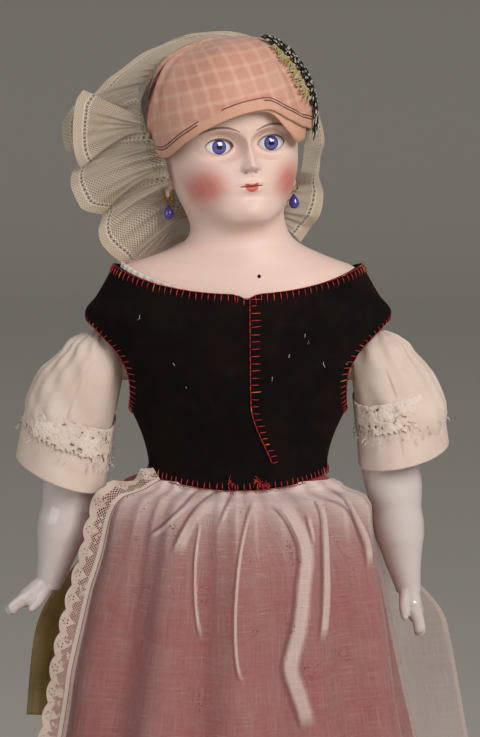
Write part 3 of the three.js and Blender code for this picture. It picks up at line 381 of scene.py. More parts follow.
class Paint:
    """A node material, built up from small sums of values."""

    def __init__(self, name, roughness=0.8, specular=0.3):
        self.material = bpy.data.materials.new(name)
        self.material.use_nodes = True
        self.tree = self.material.node_tree
        self.shader = self.tree.nodes["Principled BSDF"]
        self.set(Roughness=roughness)
        self.shader.inputs["Specular IOR Level"].default_value = specular

    def put(self, socket, value):
        if isinstance(value, Value):
            value = value.socket
        if isinstance(value, bpy.types.NodeSocket):
            self.tree.links.new(value, socket)
        else:
            socket.default_value = value

    def set(self, **values):
        for key, value in values.items():
            self.put(self.shader.inputs[key.replace("_", " ")], value)
        return self

    def node(self, kind, settings=None, **values):
        made = self.tree.nodes.new(kind)
        for key, value in (settings or {}).items():
            setattr(made, key, value)
        for key, value in values.items():
            self.put(made.inputs[key.replace("_", " ")], value)
        return made

    def math(self, operation, a, b=0.0, c=0.0):
        made = self.node("ShaderNodeMath", {"operation": operation})
        for socket, value in zip(made.inputs, (a, b, c)):
            self.put(socket, value)
        return Value(self, made.outputs[0])

    def most(self, a, b):
        return self.math("MAXIMUM", a, b)

    def least(self, a, b):
        return self.math("MINIMUM", a, b)

    def size(self, a):
        return self.math("ABSOLUTE", a)

    def fade(self, value, low, high, out_low=0.0, out_high=1.0):
        made = self.node("ShaderNodeMapRange", {"interpolation_type": "SMOOTHSTEP"})
        for socket, given in zip(made.inputs, (value, low, high, out_low, out_high)):
            self.put(socket, given)
        return Value(self, made.outputs[0])

    def fall(self, value, low, high):
        """1 below low, fading to 0 at high."""
        return self.fade(value, low, high, 1.0, 0.0)

    def line(self, value, centre, half, soft):
        """1 within half of centre, fading out over soft."""
        return self.fall(self.size(value - centre), half, half + soft)

    def split(self, vector):
        return [Value(self, part) for part in self.node("ShaderNodeSeparateXYZ", Vector=vector).outputs]

    def threads(self):
        return self.split(self.node("ShaderNodeUVMap", {"uv_map": "threads"}).outputs[0])

    def attribute(self, name):
        return self.node("ShaderNodeAttribute", {"attribute_name": name})

    def given(self, name):
        """A value that the mesh carries at each point."""
        return Value(self, self.attribute(name).outputs["Fac"])

    def far(self, a, b):
        return self.math("SQRT", a * a + b * b)

    def place(self):
        return self.node("ShaderNodeTexCoord").outputs["Object"]

    def spot(self, scale, vector=None, detail=2.0, roughness=0.5):
        """Uneven noise from 0 to 1. Scale is in patches per metre."""
        made = self.node("ShaderNodeTexNoise", Scale=scale, Detail=detail, Roughness=roughness)
        self.put(made.inputs["Vector"], vector if vector is not None else self.place())
        return Value(self, made.outputs["Fac"])

    def vector(self, x, y, z=0.0):
        return self.node("ShaderNodeCombineXYZ", X=x, Y=y, Z=z).outputs[0]

    def streaks(self, a, a_scale, b, b_scale, detail, roughness=0.5, shift=0.0):
        """Uneven noise over two measures, with its own number of patches along each."""
        at = self.vector(a * a_scale, b * b_scale, shift)
        return self.spot(1.0, at, detail, roughness)

    def blend(self, share, a, b):
        made = self.node("ShaderNodeMix", {"data_type": "RGBA"})
        self.put(made.inputs[0], share)
        for socket, value in zip((made.inputs[6], made.inputs[7]), (a, b)):
            self.put(socket, srgb(value) if isinstance(value, str) else value)
        return made.outputs[2]

    def lay(self, base, colour, share, strength):
        """A colour laid over a base by a share, at a strength."""
        return self.blend(share * strength, base, colour)

    def bump(self, height, distance, strength=1.0):
        made = self.node("ShaderNodeBump", Strength=strength, Distance=distance * MM, Height=height)
        self.put(self.shader.inputs["Normal"], made.outputs[0])
        return self

    def color(self, value):
        self.put(self.shader.inputs["Base Color"], srgb(value) if isinstance(value, str) else value)
        return self

    def weave(self, pitch):
        """Height of a plain weave, 0 to 1, from threads lying across each other."""
        across, along, _ = self.threads()
        turn = 2 * math.pi / pitch
        warp = self.math("SINE", across * turn)
        weft = self.math("SINE", along * turn)
        return warp * 0.25 + (weft * 0.25 + 0.5)

    def slubs(self, fine, long):
        """Thick and thin threads both ways: fine is their width and long their length, in millimetres."""
        across, along, _ = self.threads()
        warp = self.streaks(across, 1 / fine, along, 1 / long, 3.0)
        weft = self.streaks(across, 1 / long, along, 1 / fine, 3.0, shift=7.0)
        return self.most(warp, weft)


def bisque_paint():
    """Matt tinted bisque with the painted face: blush, lips, brows, lid lines, lashes and nostrils, and
    painted shade over the upper eye sockets and along the lid creases.
    """
    p = Paint("bisque", roughness=0.42, specular=0.35)
    x, _, z = p.split(p.attribute("face").outputs["Vector"])
    front = p.given("front")
    wide = p.size(x)
    tint = p.blend(p.spot(60.0, detail=3.0), "e6cabf", "dfbfb2")
    tint = p.lay(tint, "a5846e", p.fade(p.spot(900.0), 0.62, 0.72), 0.10)

    def around(cx, cz, half_x, half_z):
        dx = (wide - cx) * (1 / half_x)
        dz = (z - cz) * (1 / half_z)
        return p.far(dx, dz)

    def over(base, share, colour):
        return p.blend(share * front, base, colour)

    mottle = p.spot(250.0, detail=4.0) * 0.35 + 0.75
    blush = p.fade(around(20.5, -18.5, 10.5, 11.0), 0.12, 1.25, 0.80, 0.0) * mottle
    tint = over(tint, blush, "c4574a")
    # Painted shade: a faint brownish darkening over the outer upper eye sockets.
    tint = over(tint, p.fade(around(16.5, 8.0, 11.0, 6.5), 0.0, 1.0, 0.10, 0.0), "c79a86")

    bow = p.math("MULTIPLY_ADD", p.math("COSINE", wide * 1.25), -0.35, -17.9)
    upper_lip = p.fade(bow - z, -0.1, 0.25) * p.fall(wide, 2.9, 3.6)
    dip = p.math("MULTIPLY_ADD", wide * wide, 0.16, -21.9)
    lower_lip = p.fade(z - dip, -0.1, 0.35) * p.fall(z, -19.2, -18.9)
    lower_lip = lower_lip * p.fall(wide, 2.7, 3.5)
    above = upper_lip * p.fade(z, -19.4, -19.2)
    tint = over(tint, p.most(above, lower_lip) * 0.9, "c4573f")
    parting = p.line(z, -19.15, 0.16, 0.22) * p.fall(wide, 4.9, 5.7)
    tint = over(tint, parting * 0.95, "6d2a20")

    nostril = p.fade(around(2.5, -12.9, 1.25, 0.55), 0.35, 1.0, 0.8, 0.0)
    tint = over(tint, nostril, "8a5346")

    off = wide - 12.9
    arch = p.math("MULTIPLY_ADD", off * off, -0.034, 9.2)
    heavy = p.fade(p.size(off), 3.0, 9.0, 0.42, 0.12)
    hairs = p.streaks(wide, 1.4, z, 9.0, 2.0) * 0.35
    brow = p.fall(p.size(z - arch) - heavy, -0.1, 0.35)
    brow = brow * p.fall(p.size(off), 8.4, 9.2)
    tint = over(tint, brow * (0.95 - hairs), "5b3a2c")

    across = (wide - eye_spacing) * (1 / eye_half_width)
    inside = p.most(1.0 - across * across, 0.0)
    lid = p.math("POWER", inside, 0.62) * upper_lid
    low = p.math("POWER", inside, 0.78) * -lower_lid
    edge_top = p.line(z, lid + 0.22, 0.20, 0.30)
    edge_low = p.line(z, low - 0.12, 0.08, 0.22)
    within = p.fall(p.size(across), 1.0, 1.05)
    tint = over(tint, edge_top * within * 0.92, "4a3026")
    tint = over(tint, edge_low * within * 0.6, "6d4a3c")
    turn = p.math("ARCTAN2", z * 1.6, wide - eye_spacing)
    tick = p.fade(p.math("SINE", turn * 34.0), 0.15, 0.6)
    reach = p.most(p.line(z, lid + 1.0, 0.35, 0.25) * p.fade(z, 0.2, 0.8),
                   p.line(z, low - 0.75, 0.3, 0.25) * p.fall(z, -0.8, -0.2))
    tint = over(tint, tick * reach * (within * 0.28), "5b3a2c")
    # Painted shade: a faint darker line along the lid crease, where its groove would be shaded.
    crease = p.line(z, lid * 1.15 + 2.1, 0.15, 0.9) * within
    tint = over(tint, crease * 0.22, "b07e6a")
    corner = p.fade(around(eye_spacing - eye_half_width - 0.1, -0.1, 0.6, 0.5), 0.4, 1.0, 0.9, 0.0)
    tint = over(tint, corner, "b8463c")

    p.color(tint)
    p.set(Roughness=0.40 + p.spot(400.0) * 0.12)
    p.set(Subsurface_Weight=0.12, Subsurface_Scale=0.004)
    p.shader.inputs["Subsurface Radius"].default_value = (1.0, 0.45, 0.3)
    return p.bump(p.spot(2600.0, detail=3.0), 0.03, 0.4).material


def glass_eye_paint():
    """Blown glass: a white ball with a spun blue iris and a black pupil, under clear glass."""
    p = Paint("eye glass", roughness=0.06, specular=0.6)
    x, y, z = p.split(p.attribute("eye").outputs["Vector"])
    radius = p.far(x, z)
    forward = p.fall(y, -2.0, -0.5)
    turn = p.math("ARCTAN2", z, x)
    spoke = p.streaks(turn, 9.0, radius, 0.6, 3.0, 0.7)
    # Painted shade: the white greys outwards from the iris towards the corners, as if shaded by the lids.
    white = p.blend(p.fade(radius, 3.5, 7.5), "eceaf0", "d8d0d2")
    iris = p.blend(p.fade(spoke, 0.3, 0.72), "37338c", "6c6abf")
    iris = p.blend(p.fade(radius, 2.5, 3.5), iris, "1e1c52")
    iris = p.blend(p.fade(radius, 1.1, 2.0, 0.55, 0.0), iris, "2f2b80")
    tint = p.blend(p.fall(radius, 3.35, 3.6) * forward, white, iris)
    tint = p.blend(p.fall(radius, 1.2, 1.4) * forward, tint, "08070a")
    p.color(tint)
    return p.set(Coat_Weight=1.0, Coat_Roughness=0.02).material


def china_paint():
    """Glazed white china: bluish white, very glossy, with a little dust and fine dark specks."""
    p = Paint("glazed china", roughness=0.12, specular=0.5)
    tint = p.blend(p.spot(35.0, detail=3.0), "d6cbc8", "ccbfbb")
    tint = p.lay(tint, "8d8078", p.fade(p.spot(1400.0), 0.70, 0.76), 0.35)
    p.color(tint)
    p.set(Coat_Weight=0.7, Coat_Roughness=0.05)
    return p.bump(p.spot(120.0, detail=1.0), 0.12, 0.35).material


def silk_paint():
    """Pink plaid silk: pale bars both ways over salmon squares, with a striped and stained lower border."""
    p = Paint("plaid silk", roughness=0.55, specular=0.35)
    across, along, _ = p.threads()
    up = p.given("up")
    side = p.given("side")
    bent = across + (p.spot(50.0) - 0.5) * 2.0
    high = along + (p.spot(45.0) - 0.5) * 2.0

    def bars(value, pitch, half, soft):
        within = p.math("PINGPONG", value, pitch / 2)
        return p.fall(within, half, half + soft)

    wide = bars(bent, 7.8, 0.75, 0.9) + bars(high, 7.8, 0.75, 0.9)
    fine = bars(bent, 7.8, 0.12, 0.3) + bars(high, 7.8, 0.12, 0.3)
    fade = p.fade(p.spot(38.0, detail=3.0), 0.3, 0.7)
    square = p.blend(fade, "be8672", "ca9784")
    tint = p.lay(square, "d3a893", wide, 0.38)
    tint = p.lay(tint, "dcbba8", fine, 0.22)
    worn = p.fade(p.spot(26.0, detail=3.0), 0.5, 0.75)
    tint = p.lay(tint, "c9ab92", worn, 0.45)
    border = p.fall(up, 4.4, 5.0)
    tint = p.lay(tint, "cf9f86", border, 0.75)
    rib = p.fade(p.math("SINE", across * 3.6), 0.2, 0.9)
    tint = p.lay(tint, "b98a70", border * rib, 0.25)
    marked = p.given("marked")
    high_line = p.line(up, 5.6, 0.22, 0.18) * p.fade(marked, 0.2, 0.4)
    low_line = p.line(up, 4.3, 0.24, 0.18) * p.fade(marked, 0.7, 0.8)
    tint = p.lay(tint, "3a241d", p.most(high_line, low_line), 0.95)
    smear = p.line(up, 6.6, 0.5, 1.2) * p.fade(p.spot(90.0), 0.52, 0.66)
    tint = p.lay(tint, "c4574a", smear, 0.28)
    stain = p.fade(p.spot(55.0, detail=4.0), 0.70, 0.78)
    tint = p.lay(tint, "c0604e", stain, 0.4)
    selvedge = p.fade(side, 0.2, 0.7)
    tint = p.lay(tint, "7c2f26", selvedge, 0.9)
    dark = p.fade(side, 0.7, 0.95) * p.fade(p.spot(160.0), 0.42, 0.5)
    tint = p.blend(dark, tint, "241615")
    p.color(tint)
    p.set(Sheen_Weight=0.2, Sheen_Roughness=0.4)
    return p.bump(p.weave(0.55) * 0.35 + p.spot(140.0, detail=3.0), 0.25, 0.6).material


def fringe_paint():
    p = Paint("fringe silk", roughness=0.5)
    tone = p.given("tone")
    tint = p.blend(p.fade(tone, 0.45, 0.5), "15130f", "bfa660")
    tint = p.blend(p.fade(tone, 0.75, 0.8), tint, "d3c9b8")
    p.color(p.lay(tint, "2b2620", p.spot(900.0), 0.5))
    return p.bump(p.spot(3000.0), 0.1).material


def see_through(p, cover):
    """Lets light through a paint where cover is under 1."""
    clear = p.node("ShaderNodeBsdfTransparent")
    both = p.node("ShaderNodeMixShader")
    p.put(both.inputs[0], cover)
    p.tree.links.new(clear.outputs[0], both.inputs[1])
    p.tree.links.new(p.shader.outputs[0], both.inputs[2])
    p.tree.links.new(both.outputs[0], p.tree.nodes["Material Output"].inputs["Surface"])
    return p.material


def net_paint(name, colour, shade, band):
    """Cotton net: rows of small round holes, with a closer hem and a line of drawn threads above it. The
    holes and drawn-thread slots carry painted shade.
    """
    p = Paint(name, roughness=0.9, specular=0.15)
    across, along, _ = p.threads()
    edge = p.given("edge")
    pitch = 1.9

    def holes(shift):
        dx = p.math("FRACT", across * (1 / pitch) + shift) - 0.5
        dz = p.math("FRACT", along * (1 / pitch) + shift) - 0.5
        return p.far(dx, dz)

    hole = p.fall(p.least(holes(0.0), holes(0.5)), 0.15, 0.24)
    clear = p.fade(p.spot(55.0, detail=2.0), 0.22, 0.46)
    clear = clear * p.fade(edge, band - 0.5, band + 2.0, 0.35, 1.0)
    open_hole = hole * clear
    gauze = p.spot(70.0, detail=3.0) * 0.3 + 0.68
    hem = p.fall(edge, band, band + 0.4)
    cover = p.least(p.most(gauze, hem * 0.93), 1.0)
    drawn = p.math("FRACT", p.given("run") * (1 / 2.3))
    slot = p.line(edge, band + 0.2, 0.5, 0.15) * p.fall(p.size(drawn - 0.5), 0.24, 0.30)
    ridge = p.most(p.line(edge, band + 1.3, 0.32, 0.2), p.line(edge, band - 0.9, 0.32, 0.2))
    cover = p.most(cover, ridge)
    # Painted shade: the holes and slots stay partly covered and are tinted dark brown below, as the shadow
    # between the threads.
    cover = cover * (1.0 - p.most(open_hole, slot) * 0.6)
    tint = p.blend(p.spot(40.0, detail=3.0), colour, shade)
    tint = p.lay(tint, "d8ccba", ridge, 0.6)
    tint = p.lay(tint, "4f4034", p.most(open_hole, slot), 0.9)
    p.color(tint)
    p.bump(hole * -1.0 + p.weave(0.7) * 0.4, 0.15, 0.5)
    return see_through(p, cover)


def lace_paint():
    """Bobbin lace: a hemmed inner edge, a diagonal net and solid scallops with eyelet rings and points."""
    p = Paint("white lace", roughness=0.85, specular=0.2)
    along = p.given("run")
    out = p.given("out")
    scallop = 11.4
    phase = p.math("FRACT", along * (1 / scallop))
    centre = (phase - 0.5) * scallop
    reach = lace_width - centre * centre * 0.055
    inside = p.fade(reach - out, 0.0, 0.25)
    pitch = 1.45
    one = p.math("PINGPONG", along + out, pitch / 2)
    two = p.math("PINGPONG", along - out, pitch / 2)
    mesh = p.fall(p.least(one, two), 0.17, 0.27)
    border = p.fall(reach - out, 3.6, 4.0)
    point = p.fall(p.size(centre) + (7.8 - out) * 0.62, 2.7, 3.0)
    sprig = p.fade(p.spot(420.0, detail=2.0), 0.57, 0.60)
    solid = p.most(p.most(border, point), sprig * 0.9)
    dz = out - 8.3
    eyelet = p.far(centre, dz)
    turn = p.math("ARCTAN2", dz, centre)
    bars = p.fade(p.math("SINE", turn * 5.0), -0.2, 0.3)
    ring = p.line(eyelet, 1.35, 0.4, 0.15) * bars
    specks = p.fade(p.spot(1500.0), 0.62, 0.68) * border
    solid = solid * (1.0 - p.most(ring, specks * 0.6))
    hem = p.fall(out, 2.0, 2.2)
    cover = p.most(p.most(solid, mesh), hem) * inside
    tint = p.blend(p.spot(150.0, detail=3.0), "d3bfb1", "c2ab9c")
    p.color(p.lay(tint, "d9cabf", hem, 0.6))
    p.bump(p.most(solid, mesh * 0.6), 0.3, 0.6)
    return see_through(p, cover * 0.97)


def trim_paint():
    """Crochet trim of close soft knobs, worn through in places and ragged along both edges, with painted
    shade between the knobs.
    """
    p = Paint("cuff lace", roughness=0.9, specular=0.2)
    across, _, _ = p.threads()
    up = p.given("edge")
    knob = p.spot(380.0, detail=3.0)
    clump = p.spot(95.0, detail=4.0)
    fray = p.streaks(across, 0.5, up, 0.25, 4.0) * 13.0
    ragged = p.fade(up - fray, -2.2, -1.6)
    gap = p.fade(knob * 0.6 + clump * 0.4, 0.36, 0.40)
    tint = p.blend(p.fade(clump, 0.35, 0.65), "d2bfb1", "e0cfc3")
    # Painted shade: darker brown where the knobs are low, between them.
    p.color(p.blend(p.fade(knob, 0.34, 0.46, 0.4, 0.0), tint, "a68f7e"))
    p.bump(knob + clump, 1.1, 0.9)
    return see_through(p, ragged * gap)


def cotton_paint(name, light, dark, pitch=0.45, stain="bfae92"):
    p = Paint(name, roughness=0.88, specular=0.2)
    tint = p.blend(p.fade(p.spot(45.0, detail=4.0), 0.3, 0.75), light, dark)
    tint = p.lay(tint, stain, p.fade(p.spot(28.0, detail=4.0), 0.62, 0.8), 0.35)
    thread = p.fade(p.slubs(0.35, 9.0), 0.5, 0.75)
    p.color(p.lay(tint, "e2d5c8", thread, 0.18))
    p.set(Sheen_Weight=0.1)
    wrinkle = p.spot(110.0, detail=4.0) * 0.8
    return p.bump(p.weave(pitch) * 0.12 + wrinkle, 0.7, 0.35).material


def muslin_paint():
    """Sheer slubby muslin: open weave that shows what is under it, closer and lighter where it is folded, the
    lightness partly painted highlight, and a painted shadow beside each fold.
    """
    p = Paint("sheer muslin", roughness=0.9, specular=0.15)
    ply_and_highlight = p.given("ply_and_highlight")
    hem = p.given("hem")
    fold_shadow = p.given("fold_shadow")
    across, along, _ = p.threads()
    slubs = p.slubs(0.42, 17.0)
    slub = p.fade(slubs, 0.42, 0.80)
    thin = p.fade(p.slubs(1.5, 60.0), 0.42, 0.7)
    cloud = p.spot(30.0, detail=3.0)
    cover = 0.10 + (slub * 0.22 + cloud * 0.16)
    cover = cover + thin * 0.05
    cover = cover + ply_and_highlight * 0.80
    cover = p.least(cover + hem * 0.5, 0.95)
    sprig = p.fade(p.streaks(across, 0.06, along, 0.06, 0.0), 0.71, 0.73)
    fleck = sprig * p.fade(p.spot(1300.0), 0.58, 0.64)
    tint = p.blend(p.spot(60.0), "cdb0a8", "d6bfb7")
    # Lighter where folded or gathered: partly the doubled cloth, partly painted highlight on the folds.
    tint = p.lay(tint, "ead9d2", ply_and_highlight, 0.7)
    tint = p.lay(tint, "7c2430", fleck, 0.9)
    dust = p.fade(p.spot(900.0), 0.71, 0.75)
    tint = p.lay(tint, "5a4440", dust, 0.5)
    cover = p.most(cover, fleck * 0.7)
    # Painted shadow beside each fold: darker, and more covered so that it shows.
    cover = p.most(cover, fold_shadow * 0.55)
    p.color(p.lay(tint, "6a3d3c", fold_shadow, 0.75))
    p.bump(slubs, 0.25, 0.5)
    return see_through(p, cover)


def wool_paint():
    """Dark red twill with greyish bands where the dye has gone."""
    p = Paint("red wool", roughness=0.95, specular=0.1)
    across, along, _ = p.threads()
    band = p.fade(p.streaks(across, 0.03, along, 0.004, 2.0), 0.45, 0.75)
    tint = p.blend(p.spot(60.0, detail=4.0), "9c2c32", "861f25")
    tint = p.lay(tint, "7a4a4c", band, 0.35)
    dark = p.fade(p.slubs(0.8, 22.0), 0.55, 0.8)
    tint = p.lay(tint, "5c161c", dark, 0.3)
    p.color(tint)
    p.set(Sheen_Weight=0.15)
    twill = p.math("SINE", (across + along) * 7.0)
    return p.bump(twill * 0.5 + p.spot(700.0), 0.2, 0.5).material


def velvet_paint():
    """Worn black velvet: deep black, worn to brown in patches and browner towards the doll's left side, the
    lit side, as painted light; with a short uneven pile.
    """
    p = Paint("black velvet", roughness=0.95, specular=0.08)
    x, _, _ = p.split(p.place())
    # Brown patches are wear; their growth towards +X, the doll's left where the key light falls, is painted
    # light.
    worn_and_lit_brown = p.fade(p.spot(22.0, detail=4.0), 0.35, 0.75) * p.fade(x, -0.03, 0.06, 0.25, 1.0)
    tint = p.blend(worn_and_lit_brown, "0e0b0b", "2a1613")
    nap = p.fade(p.spot(120.0, detail=4.0), 0.4, 0.8)
    tint = p.lay(tint, "241a19", nap, 0.25)
    p.color(tint)
    p.set(Sheen_Weight=0.10, Sheen_Roughness=0.35)
    p.shader.inputs["Sheen Tint"].default_value = srgb("6a4038")
    return p.bump(p.spot(3200.0, detail=3.0), 0.25, 0.8).material


def stitch_paint():
    p = Paint("embroidery thread", roughness=0.55, specular=0.4)
    tone = p.given("tone")
    tint = p.blend(p.fade(tone, 0.55, 0.75), "a01a2b", "b52a22")
    tint = p.blend(p.fade(tone, 0.92, 0.95), tint, "c8702e")
    p.color(p.lay(tint, "6b0f1e", p.fall(tone, 0.0, 0.3), 0.7))
    return p.bump(p.spot(4000.0), 0.08).material


def ribbon_paint():
    """Olive gold silk ribbon with fine cross ribs."""
    p = Paint("gold silk", roughness=0.42, specular=0.4)
    across, along, _ = p.threads()
    shade = p.spot(60.0, detail=3.0)
    tint = p.blend(p.fade(shade, 0.3, 0.7), "77612e", "917a40")
    edge = p.fade(p.streaks(across, 0.5, along, 0.02, 2.0), 0.5, 0.7)
    p.color(p.lay(tint, "5d4a22", edge, 0.4))
    p.set(Sheen_Weight=0.2)
    rib = p.math("SINE", along * (2 * math.pi / 0.7))
    return p.bump(rib, 0.08, 0.6).material


def grained_paint(name, light, dark, scale, roughness, depth, metallic=0.0, specular=0.4):
    """Leather, cork, plaster, thread or metal: two tones broken by a grain of the given scale."""
    p = Paint(name, roughness=roughness, specular=specular)
    p.color(p.blend(p.fade(p.spot(scale * 0.3, detail=4.0), 0.3, 0.7), light, dark))
    p.shader.inputs["Metallic"].default_value = metallic
    cell = p.node("ShaderNodeTexVoronoi", Scale=scale)
    return p.bump(cell.outputs["Distance"] + p.spot(scale * 2), depth, 0.5).material


def hair_paint():
    p = Paint("mohair", roughness=0.5, specular=0.4)
    across, along, _ = p.threads()
    strand = p.streaks(across, 2.4, along, 0.05, 3.0)
    p.color(p.blend(p.fade(strand, 0.3, 0.7), "3b2618", "6d4a2e"))
    return p.bump(strand, 0.5).material


def bead_paint():
    p = Paint("blue bead", roughness=0.05, specular=0.6)
    p.color(p.blend(p.fade(p.spot(250.0), 0.35, 0.65), "2c2280", "453596"))
    return p.set(Coat_Weight=1.0, Coat_Roughness=0.02).material


bisque = bisque_paint()
eye_glass = glass_eye_paint()
china = china_paint()
plaid_silk = silk_paint()
fringe_silk = fringe_paint()
ruffle_net = net_paint("ivory net", "c8b8a4", "b8a691", 5.5)
cap_net = net_paint("cap net", "c3b29d", "b09d87", 3.0)
white_lace = lace_paint()
cuff_lace = trim_paint()
cream_cotton = cotton_paint("cream cotton", "dac7ba", "cdb8aa")
white_cotton = cotton_paint("white cotton", "ddd3c8", "cfc3b6")
calico = cotton_paint("calico", "d8ccb4", "c7b99e", 0.6)
sheer_muslin = muslin_paint()
red_wool = wool_paint()
black_velvet = velvet_paint()
embroidery = stitch_paint()
gold_silk = ribbon_paint()
black_leather = grained_paint("black leather", "1f1814", "12100e", 900.0, 0.4, 0.12)
sole_leather = grained_paint("sole leather", "6b4a30", "4e3421", 500.0, 0.7, 0.15)
brass_wire = grained_paint("brass wire", "b8963f", "8e7130", 1500.0, 0.3, 0.02, 1.0)
plaster = grained_paint("plaster", "e6e0d4", "d2cabb", 700.0, 0.95, 0.15)
cork = grained_paint("cork", "b58e5e", "8a6640", 450.0, 0.95, 0.3)
thread = grained_paint("linen thread", "d2c7b1", "b8ab92", 1800.0, 0.85, 0.1)
mohair = hair_paint()
lining_silk = cotton_paint("lining silk", "d6a58b", "bf8a70", 1.3, "b0705a")
blue_bead = bead_paint()


# Head

pivot = np.array([0, 0, neck_height])


def turn_matrix(share):
    a, b = head_turn * share, head_lean * share
    about_z = np.array([[math.cos(a), -math.sin(a), 0], [math.sin(a), math.cos(a), 0], [0, 0, 1]])
    about_y = np.array([[math.cos(b), 0, math.sin(b)], [0, 1, 0], [-math.sin(b), 0, math.cos(b)]])
    return about_z @ about_y


def turned_by(share, points):
    return np.asarray(points, float) @ turn_matrix(share).T + pivot


def to_head(points):
    """From the head's own frame, at eye level, to the doll's."""
    return turned_by(1, np.asarray(points, float) + [0, 0, neck_to_eyes])


def from_head(points):
    return (np.asarray(points, float) - pivot) @ turn_matrix(1) - [0, 0, neck_to_eyes]


head_half_width = through([
    [-40, 22], [-36, 22.8], [-30, 24.8], [-20, 28.7], [-10, 31.1], [0, 31.7], [12, 32.3], [22, 32],
    [30, 29], [36, 24.5], [41, 17], [45.5, 2]])
head_front = through([
    [-40, 21.5], [-38.5, 25], [-37, 28.6], [-35, 30.8], [-31, 31.6], [-24, 31.4], [-18, 31.8], [-8, 31.6],
    [0, 31.2], [8, 32.4], [18, 33], [26, 31], [33, 26.5], [39, 19], [45.5, 2]])
head_back = through([
    [-40, 22.5], [-30, 27], [-15, 33], [0, 38], [15, 41], [25, 40], [33, 34], [39, 25], [45.5, 2]])
nose_height = through([[-12.2, 0], [-11, 4.2], [-9.4, 5.7], [-7, 4.8], [-2.5, 2.6], [3, 1.1], [9, 0]])
nose_half_width = through([[-12, 3.6], [-8, 3], [-2.5, 2.4], [6, 2.8]])


def face_relief(x, z):
    """How far the modelled face stands out of the plain oval, at x across and z above the eyes."""
    def swell(cx, cz, half_x, half_z, out):
        return out * bell(x, cx, half_x) * bell(z, cz, half_z)

    def both(cx, *rest):
        return swell(cx, *rest) + swell(-cx, *rest)

    nose = nose_height(z) * bell(x, 0, nose_half_width(z)) + both(3.0, -10.5, 1.4, 1.5, 1.0)
    nostrils = both(2.4, -12.0, 0.9, 0.6, -0.8)
    sockets = both(eye_spacing, 0.5, 8.5, 5.5, -1.3) + both(eye_spacing, 8.5, 8, 3.5, 0.4)
    cheeks = both(17, -15, 9, 8, 1.6)
    lips = swell(0, -17.6, 4.8, 1.2, 1.3) + swell(0, -20.6, 4.0, 1.4, 1.5) + swell(0, -19.1, 5.2, 0.4, -0.5)
    groove = swell(0, -15.4, 1.0, 1.5, -0.3) + swell(0, -24.4, 5, 1.6, -0.7)
    chin = swell(0, -31, 7, 5, 2.2)
    return nose + nostrils + sockets + cheeks + lips + groove + chin


def with_lids(x, y, z):
    """Lets the lids follow the glass eyes behind them."""
    for side in (-1, 1):
        off = x - side * eye_spacing
        ball = np.clip(1 - (off / 11.6) ** 2 - (z / 9.6) ** 2, 0.05, 1)
        lid = -(eye_set_back + 9.5 * np.sqrt(ball))
        near = np.sqrt((off / eye_half_width) ** 2 + (z / 4.3) ** 2)
        y = mix(y, lid, 0.75 * (1 - smoothstep(1.0, 1.9, near)) * (y < -10))
    return y


def head_rings(levels, angles, inset, modelled):
    z = np.asarray(levels, float)[:, None]
    forward = np.cos(angles)[None, :]
    deep = inset + (0 if modelled else 8 * np.clip(forward, 0, 1) ** 2)
    depth = np.where(forward > 0, head_front(z), head_back(z)) - deep
    x = (head_half_width(z) - inset) * np.sin(angles)[None, :]
    y = -depth * forward
    if modelled:
        y = y - face_relief(x, z) * np.sqrt(np.clip(forward, 0, 1))
        y = with_lids(x, y, z)
    jaw = 5.5 * bell(z, -38, 9) * smoothstep(6, 22, np.abs(x)) * smoothstep(-0.2, 0.5, forward)
    return to_head(stacked(x, y, z + (jaw if modelled else 0) + 0 * x))


plate_rings = np.array([
    [-57, -34, 63.5, 33.5, 0], [-47, -28, 64, 34, 0], [-34, -21, 62, 32.5, 0], [-22, -14.5, 56, 29.2, 0],
    [-13, -9.5, 43, 25.4, 0.05], [-5.5, -4.5, 31, 23.4, 0.25], [-1, -0.5, 24.5, 21.6, 0.6]])


def plate_grid(angles, rows, inset):
    steps = np.linspace(0, len(plate_rings) - 1, rows)
    rows_of = curves(np.column_stack([np.arange(len(plate_rings)), plate_rings]))
    front_z, side_z, half_width, half_depth, share = (curve(steps)[:, None] for curve in rows_of)
    sideways = np.sin(angles)[None, :] ** 2
    ring = stacked((half_width - inset) * np.sin(angles), -(half_depth - inset) * np.cos(angles),
                   mix(front_z, side_z, sideways) - 0.8 * inset)
    return np.stack([turned_by(float(s), r) for s, r in zip(share[:, 0], ring)])


def head_skin(levels, angles, rows, inset, modelled):
    plate = plate_grid(angles, rows, inset)
    head = head_rings(levels, angles, inset, modelled)
    neck = np.stack([mix(plate[-1], head[0], t) for t in (0.2, 0.4, 0.6, 0.8)])
    grid = np.concatenate([plate, neck, head])
    soft = bell(np.arange(len(grid)), rows + 3, 8)[1:-1, None, None]
    for _ in range(14):
        grid[1:-1] = mix(grid[1:-1], (grid[:-2] + grid[2:]) / 2, 0.9 * soft)
    return grid


def prism(outline, direction, start, length):
    """A closed bar over a flat outline of points."""
    outline = np.asarray(outline, float)
    count = len(outline)
    direction = np.asarray(direction, float)
    points = np.concatenate([outline + start * direction, outline + (start + length) * direction])
    faces = quads(2, count, True).tolist()
    faces.append(list(range(count))[::-1])
    faces.append(list(range(count, 2 * count)))
    return points, faces


def circle(centre, radius, one, other, count=24):
    turn = full_turn(count)[:, None]
    round_it = np.cos(turn) * np.asarray(one) + np.sin(turn) * np.asarray(other)
    return np.asarray(centre) + radius * round_it


def eye_opening(side):
    s = np.linspace(-1, 1, 41)
    round_it = np.clip(1 - s**2, 0, 1)
    top = np.stack([s, upper_lid * round_it**0.62], axis=1)
    low = np.stack([s, -lower_lid * round_it**0.78], axis=1)[1:-1][::-1]
    outline = np.concatenate([low[::-1], top[::-1]])
    flat = stacked(side * eye_spacing + eye_half_width * outline[:, 0], 0, outline[:, 1])
    points, faces = prism(flat, (0, -1, 0), 12, 34)
    return to_head(points), faces


